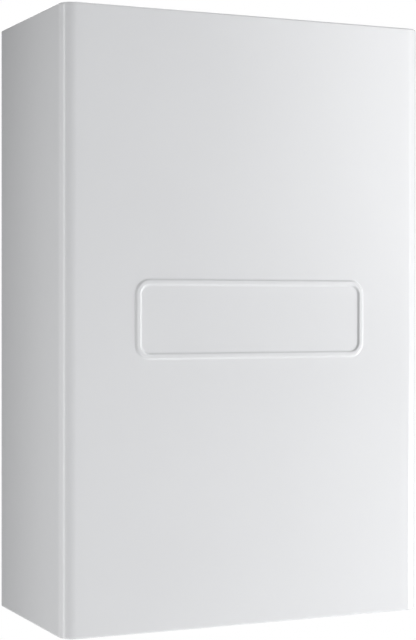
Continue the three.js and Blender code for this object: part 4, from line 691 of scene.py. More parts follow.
def screw_tree(name, sides, recessed):
    """Puts one screw head on each point, turned to face along the point's own direction."""
    tree, given = open_tree(name, head_radius="Float", head_rise="Float", recess_width="Float",
                            recess_depth="Float", finish="Material")
    new, link = tree.nodes.new, tree.links.new

    def times(socket, factor):
        """A number made larger by a factor."""
        made = new("ShaderNodeMath")
        made.operation = "MULTIPLY"
        made.inputs[1].default_value = factor
        link(socket, made.inputs[0])
        return made.outputs[0]

    def vector(x=None, y=None, z=None):
        """A vector from the sockets that are given."""
        made = new("ShaderNodeCombineXYZ")
        for key, socket in (("X", x), ("Y", y), ("Z", z)):
            if socket is not None:
                link(socket, made.inputs[key])
        return made.outputs["Vector"]

    def moved(geometry, height):
        """A shape carried up."""
        made = new("GeometryNodeTransform")
        link(geometry, made.inputs["Geometry"])
        link(vector(z=height), made.inputs["Translation"])
        return made.outputs["Geometry"]

    def frustum(wide, narrow, depth, base=None):
        """A round or six-sided slice of the head."""
        made = new("GeometryNodeMeshCone")
        made.inputs["Vertices"].default_value = sides
        link(wide, made.inputs["Radius Bottom"])
        link(narrow, made.inputs["Radius Top"])
        link(depth, made.inputs["Depth"])
        return moved(made.outputs["Mesh"], base) if base else made.outputs["Mesh"]

    radius, rise = given["Head radius"], given["Head rise"]
    stacked = new("GeometryNodeMeshBoolean")
    stacked.operation = "UNION"
    link(frustum(radius, radius, times(rise, SKIRT_HEIGHT)), stacked.inputs["Mesh 2"])
    link(frustum(times(radius, CROWN_FOOT), times(radius, CROWN_TOP), times(rise, CROWN_HEIGHT),
                 times(rise, CROWN_BASE)), stacked.inputs["Mesh 2"])
    head = stacked.outputs["Mesh"]
    if recessed:
        cutter = new("GeometryNodeMeshBoolean")
        cutter.operation = "DIFFERENCE"
        link(head, cutter.inputs["Mesh 1"])
        length, width, depth = times(radius, RECESS_LENGTH), given["Recess width"], given["Recess depth"]
        for across, along in ((length, width), (width, length)):
            bar = new("GeometryNodeMeshCube")
            link(vector(across, along, times(depth, 2.0)), bar.inputs["Size"])
            link(moved(bar.outputs["Mesh"], rise), cutter.inputs["Mesh 2"])
        head = cutter.outputs["Mesh"]
    align, place = new("FunctionNodeAlignRotationToVector"), new("GeometryNodeInstanceOnPoints")
    align.axis = "Z"
    link(named_direction(tree, "facing"), align.inputs["Vector"])
    link(given["Geometry"], place.inputs["Points"])
    link(head, place.inputs["Instance"])
    link(align.outputs["Rotation"], place.inputs["Rotation"])
    close_tree(tree, given, place.outputs["Instances"])
    return tree


def hose_tree():
    """Sweeps a round hose along each path, with grooves round it where a conduit is corrugated."""
    tree, given = open_tree("hoses", hose_radius="Float", pitch="Float", groove="Float", finish="Material")
    new, link = tree.nodes.new, tree.links.new
    curve, even = new("GeometryNodeMeshToCurve"), new("GeometryNodeResampleCurve")
    circle, sweep = new("GeometryNodeCurvePrimitiveCircle"), new("GeometryNodeCurveToMesh")
    index, turn = new("GeometryNodeInputIndex"), new("ShaderNodeMath")
    step, narrow = new("ShaderNodeMath"), new("ShaderNodeMath")
    even.mode = "LENGTH"
    circle.inputs["Resolution"].default_value = HOSE_SIDES
    sweep.inputs["Fill Caps"].default_value = True
    # Two points of every four are narrowed by the groove.
    turn.operation, turn.inputs[1].default_value = "FLOORED_MODULO", 4.0
    step.operation, step.inputs[1].default_value = "GREATER_THAN", 1.5
    narrow.operation, narrow.inputs[2].default_value = "MULTIPLY_ADD", 1.0
    link(given["Geometry"], curve.inputs["Mesh"])
    link(curve.outputs["Curve"], even.inputs["Curve"])
    link(given["Pitch"], even.inputs["Length"])
    link(given["Hose radius"], circle.inputs["Radius"])
    link(index.outputs["Index"], turn.inputs[0])
    link(turn.outputs[0], step.inputs[0])
    link(step.outputs[0], narrow.inputs[0])
    link(given["Groove"], narrow.inputs[1])
    link(even.outputs["Curve"], sweep.inputs["Curve"])
    link(circle.outputs["Curve"], sweep.inputs["Profile Curve"])
    link(narrow.outputs[0], sweep.inputs["Scale"])
    close_tree(tree, given, sweep.outputs["Mesh"])
    return tree


def bar_tree():
    """Puts one straight bar on each point, turned to the point's own direction and lie."""
    tree, given = open_tree("bars", bar_size="Vector", finish="Material")
    new, link = tree.nodes.new, tree.links.new
    bar, place = new("GeometryNodeMeshCube"), new("GeometryNodeInstanceOnPoints")
    rotation = None
    for attribute, axis in (("facing", "Z"), ("along", "X")):
        align = new("FunctionNodeAlignRotationToVector")
        align.axis = axis
        align.pivot_axis = "Z" if rotation else "AUTO"
        link(named_direction(tree, attribute), align.inputs["Vector"])
        if rotation:
            link(rotation, align.inputs["Rotation"])
        rotation = align.outputs["Rotation"]
    link(given["Bar size"], bar.inputs["Size"])
    link(given["Geometry"], place.inputs["Points"])
    link(bar.outputs["Mesh"], place.inputs["Instance"])
    link(rotation, place.inputs["Rotation"])
    close_tree(tree, given, place.outputs["Instances"])
    return tree


def evaluated(name, source, tree, **values):
    """A plain mesh of what a Geometry Nodes tree makes from a source mesh."""
    holder = bpy.data.objects.new(name + "_source", source)
    bpy.context.scene.collection.objects.link(holder)
    modifier = holder.modifiers.new("made", "NODES")
    modifier.node_group = tree
    set_inputs(modifier, **values)
    bpy.context.view_layer.update()
    graph = bpy.context.evaluated_depsgraph_get()
    made = bpy.data.meshes.new_from_object(holder.evaluated_get(graph), depsgraph=graph)
    bpy.data.objects.remove(holder)
    bpy.data.meshes.remove(source)
    for extra in [a.name for a in made.attributes if a.name in ("facing", "along")]:
        made.attributes.remove(made.attributes[extra])
    if not made.polygons:
        raise RuntimeError(f"{name}: nothing was made")
    made.name = name
    return made


def points_mesh(name, places):
    """A mesh of loose points in millimetres with the directions that go with them."""
    source = bpy.data.meshes.new(name + "_places")
    source.from_pydata([tuple(at(*place[0])) for place in places], [], [])
    for column, attribute in ((1, "facing"), (2, "along")):
        if len(places[0]) > column:
            ways = source.attributes.new(attribute, "FLOAT_VECTOR", "POINT")
            ways.data.foreach_set("vector", [c for place in places for c in place[column]])
    return source


def screws(name, radius, places, rise, recessed=True, body=CHASSIS):
    """Screw or bolt heads at places, each (point in millimetres, direction it faces)."""
    sizes = bpy.context.scene.boiler_screws
    label, sides = ("screw_heads", SCREW_SIDES) if recessed else ("bolt_heads", NUT_SIDES)
    tree = bpy.data.node_groups.get(label) or screw_tree(label, sides, recessed)
    radius = radius * MM
    made = evaluated(name, points_mesh(name, places), tree, head_radius=radius, head_rise=radius * rise,
                     recess_width=radius * sizes.recess_width, recess_depth=radius * sizes.recess_depth,
                     finish=finishes["screws"])
    add_piece(name, "screws", made, body=body)


def bars(name, size, places, finish):
    """Straight bars at places, each (point, direction it faces, direction it lies), sized in millimetres."""
    tree = bpy.data.node_groups.get("bars") or bar_tree()
    made = evaluated(name, points_mesh(name, places), tree, bar_size=[c * MM for c in size],
                     finish=finishes[finish])
    add_piece(name, finish, made)


def hoses(name, radius, routes, finish, bend, pitch, groove=0.0):
    """Wires, leads or a conduit along routes of corners in millimetres."""
    tree = bpy.data.node_groups.get("hoses") or hose_tree()
    points, edges = [], []
    for route in routes:
        path = rounded_route(route, bend)
        first = len(points)
        points += [tuple(point) for point in path]
        edges += [(first + k, first + k + 1) for k in range(len(path) - 1)]
    source = bpy.data.meshes.new(name + "_paths")
    source.from_pydata(points, edges, [])
    made = evaluated(name, source, tree, hose_radius=radius * MM, pitch=pitch * MM, groove=-groove,
                     finish=finishes[finish])
    add_piece(name, finish, made, smooth=HOSE_SMOOTH_ANGLE)


# ---- casing ----
class CasingSheet:
    """The wrap-round sheet, built as an outer and an inner skin that share one plan and one profile."""

    SUPPORT = 5 * MM               # flat strip beside each round corner
    RIM_SUPPORT, WALL_SUPPORT = 2 * MM, 1.5 * MM
    FOLD_STEPS = 8
    BEAD_STEPS, BEAD_CORNER_STEPS = 18, 14
    BEAD_MARGIN = 1 * MM           # flat strip on each side of the bead
    HEM_STEPS = 10
    HEM_LENGTH, HEM_SHEET = 12 * MM, 1.1 * MM
    HEM_OVERLAP = 0.01 * MM

    def __init__(self, sizes):
        self.s = sizes
        self.bm = bmesh.new()
        self.rear_y = CASING_HIGH.y - NOSE_RADIUS
        self.front_y = CASING_HIGH.y - sizes.depth
        self.high, self.low = CASING_HIGH.z, CASING_LOW.z

    def plan(self, inset):
        """Points from the left rear edge round the front to the right rear edge."""
        s = self.s
        half = s.width / 2 - inset
        radius = max(s.corner_radius - inset, s.sheet)
        front = self.front_y + inset
        hold = self.front_y + s.corner_radius + self.SUPPORT
        points = [(-half, self.rear_y), (-half, hold)]
        for side, first in ((-1, math.pi), (1, 1.5 * math.pi)):
            centre = Vector((side * (half - radius), front + radius))
            if side == 1:
                points.append((s.width / 2 - s.corner_radius - self.SUPPORT, front))
            for k in range(s.corner_steps + 1):
                angle = first + k / s.corner_steps * math.pi / 2
                points.append((centre.x + radius * math.cos(angle), centre.y + radius * math.sin(angle)))
            if side == -1:
                points.append((-s.width / 2 + s.corner_radius + self.SUPPORT, front))
        points += [(half, hold), (half, self.rear_y)]
        return points

    def profile(self, inner):
        """(inset, height) from the top rim's inner edge down to the bottom rim's, on one skin."""
        s = self.s
        skin = s.sheet if inner else 0.0
        bend = s.fold_radius - skin
        upper = [(s.rim_width, self.high - skin), (s.fold_radius + self.RIM_SUPPORT, self.high - skin)]
        for k in range(self.FOLD_STEPS + 1):
            angle = k / self.FOLD_STEPS * math.pi / 2
            upper.append((s.fold_radius - bend * math.sin(angle),
                          self.high - s.fold_radius + bend * math.cos(angle)))
        upper.append((skin, self.high - s.fold_radius - self.WALL_SUPPORT))
        middle = (self.high + self.low) / 2
        return upper + [(inset, 2 * middle - height) for inset, height in reversed(upper)]

    def skin(self, inner):
        """Rows of vertices of the outer or the inner skin, from the top rim down."""
        return [
            [self.bm.verts.new((x, y, height)) for x, y in self.plan(inset)]
            for inset, height in self.profile(inner)
        ]

    def faces(self, rows, hole_row, hole_column, inner):
        """Covers a skin, apart from the flat front that the bead frame is pressed in."""
        for j, (row, following) in enumerate(zip(rows, rows[1:])):
            for i in range(len(row) - 1):
                if j == hole_row and i == hole_column:
                    continue
                corners = [row[i], following[i], following[i + 1], row[i + 1]]
                self.bm.faces.new(corners[::-1] if inner else corners)

    def bead_ring(self, inward, inner):
        """One rounded rectangle of the bead frame, a distance in from its outer foot."""
        s = self.s
        half_x = s.bead_frame_width / 2 - inward
        half_z = s.bead_frame_height / 2 - inward
        radius = s.bead_corner - inward
        across = min(inward, s.bead_width - inward)
        y = self.front_y - s.bead_rise * smoothstep(across / s.bead_slope) + (s.sheet if inner else 0.0)
        steps = self.BEAD_CORNER_STEPS
        ring = []
        for k, (side_x, side_z) in enumerate(((1, 1), (-1, 1), (-1, -1), (1, -1))):
            middle_x = s.bead_frame_x + side_x * (half_x - radius)
            middle_z = s.bead_frame_z + side_z * (half_z - radius)
            for step in range(steps + 1):
                angle = (k + step / steps) * math.pi / 2
                ring.append(self.bm.verts.new((
                    middle_x + radius * math.cos(angle), y, middle_z + radius * math.sin(angle))))
        return ring

    def pressed_front(self, corners, inner):
        """Fills the flat front between its corners, given anticlockwise from the upper right."""
        width = self.s.bead_width
        insets = [-self.BEAD_MARGIN, *(width * k / self.BEAD_STEPS for k in range(self.BEAD_STEPS + 1)),
                  width + self.BEAD_MARGIN]
        rings = [self.bead_ring(inward, inner) for inward in insets]
        grid_faces(self.bm, rings, closed=True, flip=not inner)
        outer = rings[0]
        count = self.BEAD_CORNER_STEPS + 1
        for k in range(4):
            arc = outer[k * count:(k + 1) * count]
            for a, b in zip(arc, arc[1:]):
                self.add_face([corners[k], a, b], inner)
            following = (k + 1) % 4
            self.add_face([corners[k], arc[-1], outer[following * count], corners[following]], inner)
        self.add_face(rings[-1], inner)

    def add_face(self, vertices, inner):
        """One flat front face, wound to face the front outside and the rear inside."""
        face = self.bm.faces.new(vertices)
        face.normal_update()
        if (face.normal.y > 0) != inner:
            face.normal_flip()

    def hem(self, side):
        """The side's rear edge: a folded nose and the strip it leaves inside."""
        s = self.s
        outer = side * s.width / 2
        plan = []
        for k in range(self.HEM_STEPS + 1):
            angle = k / self.HEM_STEPS * math.pi
            plan.append((outer - side * NOSE_RADIUS * (1 - math.cos(angle)),
                         self.rear_y + NOSE_RADIUS * math.sin(angle)))
        inside = outer - side * 2 * NOSE_RADIUS
        end_y, covered_y = self.rear_y - self.HEM_LENGTH, self.rear_y - self.HEM_OVERLAP
        plan += [(inside, end_y), (inside + side * self.HEM_SHEET, end_y),
                 (inside + side * self.HEM_SHEET, covered_y), (outer, covered_y)]
        rows = [
            [self.bm.verts.new((x, y, z)) for x, y in plan]
            for z in (self.high - s.fold_radius, self.low + s.fold_radius)
        ]
        grid_faces(self.bm, rows, closed=True, flip=side > 0)
        self.bm.faces.new(rows[0] if side < 0 else rows[0][::-1])
        self.bm.faces.new(rows[1][::-1] if side < 0 else rows[1])

    def build(self):
        """Both skins, the edges between them and the rear hems."""
        outer, inner = self.skin(False), self.skin(True)
        row = len(outer) // 2 - 1
        column = self.s.corner_steps + 3
        for rows, inside in ((outer, False), (inner, True)):
            self.faces(rows, row, column, inside)
            top, bottom = rows[row], rows[row + 1]
            self.pressed_front([top[column + 1], top[column], bottom[column], bottom[column + 1]], inside)
        for j in range(len(outer) - 1):
            for column in (0, -1):
                corners = [outer[j][column], outer[j + 1][column], inner[j + 1][column], inner[j][column]]
                self.bm.faces.new(corners if column else corners[::-1])
        for i in range(len(outer[0]) - 1):
            for row in (0, -1):
                corners = [outer[row][i], outer[row][i + 1], inner[row][i + 1], inner[row][i]]
                self.bm.faces.new(corners if row else corners[::-1])
        for side in (-1, 1):
            self.hem(side)
        return self.bm


class BOILER_OT_casing(bpy.types.Operator):
    """Builds the casing with its folds, rear hems and pressed bead frame"""

    bl_idname = "boiler.casing"
    bl_label = "Casing"

    def execute(self, context):
        bm = CasingSheet(context.scene.boiler_casing).build()
        stand_in("casing_sheet", "front_casing", bm, body="casing", smooth=CASING_SMOOTH_ANGLE)
        screws("casing_screws", 4.2, [
            ((side * 150, -228.5, CASING_LOW.z / MM), DOWN) for side in (-1, 1)], rise=0.28, body="casing")
        return {"FINISHED"}


def front_lettering(place):
    """Lettering that is read from the front: right is +X and up is +Z."""
    return Matrix.Translation(at(*place)) @ Matrix(((1, 0, 0), (0, 0, -1), (0, 1, 0))).to_4x4()


class BOILER_OT_flue(bpy.types.Operator):
    """Builds the flue collar, duct and seals, the air inlet cover, and their screws and test-point caps"""

    bl_idname = "boiler.flue"
    bl_label = "Flue fittings"

    SIDES = 96
    FLANGE_TOP = 61
    COLLAR = ((50, 43), (50, 58.5), (66, 58.5), (66, 60.2), (65.2, 61), (52, 61), (50.6, 61.6), (50, 63),
              (50, 72.4), (49.6, 73), (49.1, 73.2), (48.7, 73), (48.5, 72.4), (48.5, 43))
    DUCT = ((30, -1.2), (30, 70.6), (30.5, 71.4), (30.8, 72.3), (30.5, 73), (30, 73.2), (29.4, 73.2),
            (28.9, 72.8), (28.8, 72), (28.8, -1.2))
    COVER = ((0, 58.5), (42, 58.5), (42, 59.8), (41.6, 60.6), (40.6, 61), (33, 61), (32, 60.8),
             (31, 60.2), (24, 60.2), (23, 60.8), (22, 61), (0, 61))
    OUTER_SEAL = ((48.4, 64), (48.4, 70), (46.4, 69.4), (45.6, 68), (46.6, 67.2), (46.4, 66), (45.6, 65),
                  (46.6, 64.2))
    INNER_SEAL = ((28.7, 62), (28.7, 69), (26.9, 68.2), (27.4, 66.6), (26.9, 65), (27.4, 63))
    TEST_CAP = ((0, 60.9), (5.2, 60.9), (5.2, 65.4), (4.6, 66.2), (3.4, 66.2), (3.2, 69), (2.6, 69.6),
                (0, 69.6))

    def execute(self, context):
        for node, profile, centre, ring in (("flue_collar", self.COLLAR, FLUE, True),
                                            ("flue_duct", self.DUCT, FLUE, True),
                                            ("air_inlet_cover", self.COVER, INLET, False)):
            bm = bmesh.new()
            turned(bm, profile, (*centre, 0), UP, self.SIDES, ring=ring)
            stand_in(node + "_turned", node, outward(bm))
        seals, caps = bmesh.new(), bmesh.new()
        for profile in (self.OUTER_SEAL, self.INNER_SEAL):
            turned(seals, profile, (*FLUE, 0), UP, self.SIDES, ring=True)
        add_piece("flue_lip_seals", "rubber", outward(seals))
        for side in (-1, 1):
            turned(caps, self.TEST_CAP, (FLUE[0] + side * 10, FLUE[1] - 57.5, 0), UP, 24)
        add_piece("test_point_caps", "black_plastic", outward(caps))
        screws("collar_screws", 3.2, [
            ((*polar(FLUE, 58.5, 60 * k), self.FLANGE_TOP), UP) for k in range(6)], rise=0.45)
        screws("inlet_cover_screws", 2.6, [
            ((*polar(INLET, 37, 90 + 120 * k), self.FLANGE_TOP), UP) for k in range(3)], rise=0.45)
        return {"FINISHED"}


class BOILER_OT_burner_door(bpy.types.Operator):
    """Builds the cast burner door with its ribs, bosses, gasket and nuts, and the mixing duct's screws"""

    bl_idname = "boiler.burner_door"
    bl_label = "Burner door"

    DOOR = ((26, 150.5), (111.6, 150.5), (112, 151), (112, 157.4), (111, 158.5), (99, 158.5),
            (97.4, 157), (50, 157), (46, 158), (44.6, 162.6), (43.6, 163.5), (26, 163.5))
    BOSS = ((0, 156), (7.4, 156), (7, 158), (7, 161.9), (6.4, 162.5), (0, 162.5))
    GASKET = ((109, 150.1), (113.4, 150.1), (113.4, 150.45), (109, 150.45))
    BOLT_CIRCLE, BOSS_FACE = 105, 162.5
    RIB_CIRCLE, RIB_TURNS = 73, (0, 60, 75, 90, 105, 120, 180, 210, 240, 300, 330)

    def execute(self, context):
        centre = (CELL[0], 0, CELL[1])
        bolts = [polar(CELL, self.BOLT_CIRCLE, 30 + 60 * k) for k in range(6)]
        door, gasket = bmesh.new(), bmesh.new()
        turned(door, self.DOOR, centre, FRONT, 96, ring=True)
        for x, z in bolts:
            turned(door, self.BOSS, (x, 0, z), FRONT, 24)
        bmesh.ops.recalc_face_normals(door, faces=door.faces)
        stand_in("burner_door_cast", "burner_door", door)
        ribs = []
        for turn in self.RIB_TURNS:
            x, z = polar(CELL, self.RIB_CIRCLE, turn)
            across, up = polar((0, 0), 1, turn)
            ribs.append(((x, -158.2, z), FRONT, (across, 0, up)))
        bars("door_ribs", (50, 3.2, 2.6), ribs, "cast_aluminium")
        screws("door_nuts", 5.2, [((x, -self.BOSS_FACE, z), FRONT) for x, z in bolts], rise=0.85,
               recessed=False)
        screws("duct_screws", 3.0, [
            ((x, -197.8, z), FRONT) for x, z in (polar(CELL, 30, turn) for turn in (25, 90, 155))
        ], rise=0.5)
        turned(gasket, self.GASKET, centre, FRONT, 96, ring=True)
        add_piece("door_gasket", "fibre", outward(gasket))
        return {"FINISHED"}


class BOILER_OT_fan_fittings(bpy.types.Operator):
    """Adds the fan's screws, plug, ribs and bands, and the gas valve's screws, plugs and test nipples"""

    bl_idname = "boiler.fan_fittings"
    bl_label = "Fan and gas valve fittings"

    def execute(self, context):
        screws("fan_screws", 3.0, [
            ((x, -197.8, z), FRONT) for x, z in (polar(FAN, 46, 28 + 72 * k) for k in range(5))
        ], rise=0.5)
        screws("fan_motor_screws", 2.2, [
            ((x, -228.1, z), FRONT) for x, z in (polar(FAN, 25, 45 + 90 * k) for k in range(4))
        ], rise=0.45)
        bm = bmesh.new()
        moulding(bm, (16, -222, -347), (40, -205, -334), 1.2)
        moulding(bm, (18.5, -219.5, -352), (37.5, -207.5, -346.5), 0.8)
        add_piece("fan_plug", "white_plastic", bm)
        ribs = []
        for turn in (turn for turn in range(0, 360, 20) if not 230 < turn < 310):
            x, z = polar(FAN, 37.2, turn)
            across, up = polar((0, 0), 1, turn)
            ribs.append(((x, -213.5, z), (across, 0, up), FRONT))
        bars("fan_cooling_ribs", (10, 2.0, 2.2), ribs, "black_plastic")
        screws("gas_valve_screws", 3.2, [
            ((x, -188, z), FRONT) for x in (158.5, 205.5) for z in (-359.5, -302.5)
        ], rise=0.5)
        bm = bmesh.new()
        for y in (-138.5, -171.5):
            moulding(bm, (166, y - 9, -267), (198, y + 9, -258), 1.2)
            moulding(bm, (198, y - 6, -266), (206, y + 6, -259), 0.8)
        add_piece("gas_valve_plugs", "black_plastic", bm)
        bm = bmesh.new()
        for x in (160.5, 203.5):
            turned(bm, [(0, 187.6), (4.4, 187.6), (4.4, 190), (3, 190.6), (3, 195), (3.4, 195.6), (2.8, 197),
                        (1.2, 197.2), (0.8, 195), (0, 195)], (x, 0, -331), FRONT, 20)
        add_piece("gas_test_nipples", "brass", outward(bm))
        bm = bmesh.new()
        for centre, axis in (((FAN[0], -112, FAN[1]), REAR), ((-100, -78, -147), UP)):
            turned(bm, band(24.2, 1.4, 5), centre, axis, 48, ring=True)
        add_piece("silencer_bands", "rubber", outward(bm))
        return {"FINISHED"}


class BOILER_OT_gauge_dial(bpy.types.Operator):
    """Builds the pressure gauge's dial with its ticks, numbers and coloured bands"""

    bl_idname = "boiler.gauge_dial"
    bl_label = "Gauge dial"

    START, SWEEP = 135.0, 270.0    # degrees, where the scale begins and how far it goes
    NUMBERS, FINE_STEPS = 5, 40
    MARKS_Z = -676.2
    CASE = ((0, 652.5), (21, 652.5), (21, 678.5), (24, 678.5), (24, 681.4), (23.7, 682.1), (23, 682.5),
            (20.2, 682.5), (19.4, 682.2), (19, 681.4), (19, 676), (0, 676))
    WINDOW = ((0, 680.8), (18.7, 680.8), (18.7, 681.8), (18.2, 682.2), (0, 682.2))
    DIAL = ((0, 676.02), (18.9, 676.02), (18.9, 676.16), (0, 676.16))
    BAND_SECTION = ((15.5, -676.24), (16.7, -676.24), (16.7, -676.1), (15.5, -676.1))
    BAND_STEPS = 24

    def disc(self, profile, sides):
        """A bmesh turned about the gauge's axis, facing down."""
        bm = bmesh.new()
        turned(bm, profile, (*GAUGE, 0), DOWN, sides)
        return outward(bm)

    def turn(self, share):
        """The angle at a share of the scale."""
        return self.START + self.SWEEP * share

    def coloured_band(self, name, finish, first, last):
        """An arc beside the scale, from one share of it to another."""
        bm = bmesh.new()
        rows = []
        for k in range(self.BAND_STEPS + 1):
            turn = self.turn(first + (last - first) * k / self.BAND_STEPS)
            rows.append([bm.verts.new(at(*polar(GAUGE, radius, turn), z)) for radius, z in self.BAND_SECTION])
        grid_faces(bm, rows, closed=True)
        bm.faces.new(rows[0])
        bm.faces.new(rows[-1][::-1])
        add_piece(name, finish, outward(bm))

    def execute(self, context):
        stand_in("gauge_case", "pressure_gauge", self.disc(self.CASE, 80))
        stand_in("gauge_window", "gauge_lens", self.disc(self.WINDOW, 64))
        add_piece("gauge_dial", "dial_face", self.disc(self.DIAL, 64))
        for name, size, reach, every in (("gauge_fine_ticks", (1.4, 0.16, 0.1), 14.6, 1),
                                         ("gauge_main_ticks", (2.6, 0.34, 0.1), 14.0, 5)):
            ticks = []
            for k in range(0, self.FINE_STEPS + 1, every):
                turn = self.turn(k / self.FINE_STEPS)
                ticks.append(((*polar(GAUGE, reach, turn), self.MARKS_Z), DOWN, (*polar((0, 0), 1, turn), 0)))
            bars(name, size, ticks, "dial_black")
        bm = bmesh.new()
        facing_down = Matrix(((1, 0, 0), (0, -1, 0), (0, 0, -1))).to_4x4()
        for number in range(self.NUMBERS):
            x, y = polar(GAUGE, 10.0, self.turn(number / (self.NUMBERS - 1)))
            lettering(bm, str(number), 3.4, Matrix.Translation(at(x, y, self.MARKS_Z)) @ facing_down)
        add_piece("gauge_numbers", "dial_black", bm)
        self.coloured_band("gauge_green_band", "dial_green", 0.25, 0.5)
        self.coloured_band("gauge_red_band", "dial_red", 0.75, 1.0)
        return {"FINISHED"}


class BOILER_OT_control_box_fittings(bpy.types.Operator):
    """Adds the control box's display glass, lid screws, vent ribs, switch marks and cable sleeve"""

    bl_idname = "boiler.control_box_fittings"
    bl_label = "Control box fittings"

    def execute(self, context):
        bm = bmesh.new()
        moulding(bm, (BOX_MIDDLE - 29.4, -219.8, -449.6), (BOX_MIDDLE + 29.4, -219.2, -420.9), 0.25)
        add_piece("display_glass", "display_glass", bm)
        bm = bmesh.new()
        for low, high in ((-420.2, -418.6), (-451.9, -450.3)):
            moulding(bm, (BOX_MIDDLE - 31.5, -221.2, low), (BOX_MIDDLE + 31.5, -220.1, high), 0.3)
        for side in (-1, 1):
            edge = BOX_MIDDLE + side * 30.9
            moulding(bm, (edge - 0.8, -221.2, -451.9), (edge + 0.8, -220.1, -418.6), 0.3)
        turned(bm, [(7.6, 220.1), (9.6, 220.1), (9.3, 221.1), (7.9, 221.1)],
               (BOX_MIDDLE, 0, -523.75), FRONT, 40, ring=True)
        add_piece("control_lid_frames", "grey_plastic", bm)
        screws("control_lid_screws", 2.8, [
            ((x, -220.3, z), FRONT) for x in (-220.3, -130.3) for z in (-560, -399)
        ], rise=0.45)
        lid = SLOT_OF_NODE["control_box_lid"]
        bars("control_lid_ribs", (56, 1.6, 1.6), [
            ((BOX_MIDDLE, -220.4, -541 - 3.6 * k), FRONT, RIGHT) for k in range(5)], lid)
        bm = bmesh.new()
        for mark, side in (("1", 1), ("0", -1)):
            lettering(bm, mark, 5.0, front_lettering((BOX_MIDDLE + side * 20, -220.34, -479.5)))
        add_piece("switch_marks", "white_plastic", bm)
        bm = bmesh.new()
        turned(bm, [(6.2, -1), (10, -1), (10, 1.4), (8.4, 2.2), (7.4, 8), (6.2, 8)],
               (-122.3, LOOM_Y, -432), RIGHT, 32, ring=True)
        add_piece("cable_sleeve", "rubber", outward(bm))
        bars("circuit_pins", (1.0, 1.0, 3.0), [
            ((-188.6, -96 - 5.0 * k, -548 + 22 * row), RIGHT, UP) for k in range(16) for row in range(2)
        ], "brass")
        return {"FINISHED"}


class BOILER_OT_pump_fittings(bpy.types.Operator):
    """Adds the pump's screws, bleed screw, terminal box and speed dial, and the diverter's plug"""

    bl_idname = "boiler.pump_fittings"
    bl_label = "Pump and diverter fittings"

    def execute(self, context):
        screws("pump_screws", 3.4, [
            ((x, -190.3, z), FRONT) for x, z in (polar(PUMP, 33, 45 + 90 * k) for k in range(4))
        ], rise=0.6)
        bm = bmesh.new()
        turned(bm, [(0, 190), (11, 190), (11, 191.6), (10, 192.6), (8.6, 192.6), (8.2, 193.8), (0, 193.8)],
               (PUMP[0], 0, PUMP[1]), FRONT, 36)
        add_piece("pump_bleed_screw", "brass", outward(bm))
        bars("pump_bleed_slot", (12, 1.6, 0.5), [
            ((PUMP[0], -193.9, PUMP[1]), FRONT, (0.7, 0, 0.7))], "dial_black")
        bm = bmesh.new()
        moulding(bm, (188, -180, -562), (219, -124, -510), 2.5)
        moulding(bm, (186, -181.5, -563.5), (205, -122.5, -508.5), 1.5)
        turned(bm, [(5, 0), (7.5, 0), (7, 7), (5, 7)], (206, -151, -509.5), UP, 24, ring=True)
        add_piece("pump_terminal_box", "black_plastic", bm)
        bm = bmesh.new()
        x, z = SPEED_KNOB
        turned(bm, [(0, 180), (9, 180), (9, 181), (8.2, 186), (7.4, 186.8), (0, 186.8)], (x, 0, z), FRONT, 32)
        moulding(bm, (x - 1.2, -188, z - 7.5), (x + 1.2, -186, z + 7.5), 0.5)
        add_piece("pump_speed_knob", "grey_plastic", bm)
        bm = bmesh.new()
        for number, turn in ((1, 135), (2, 90), (3, 45)):
            x, z = polar(SPEED_KNOB, 12.4, turn)
            face_y = -181.6 if x < 204.5 else -180.1  # the third number stands on the box's lower step
            lettering(bm, str(number), 3.6, front_lettering((x, face_y, z)))
        add_piece("pump_speed_numbers", "white_plastic", bm)
        bm = bmesh.new()
        moulding(bm, (-104, -112, -484), (-86, -104.6, -471), 1.0)
        moulding(bm, (-101.5, -114.5, -481.5), (-88.5, -111.6, -473.5), 0.6)
        add_piece("diverter_plug", "white_plastic", bm)
        return {"FINISHED"}


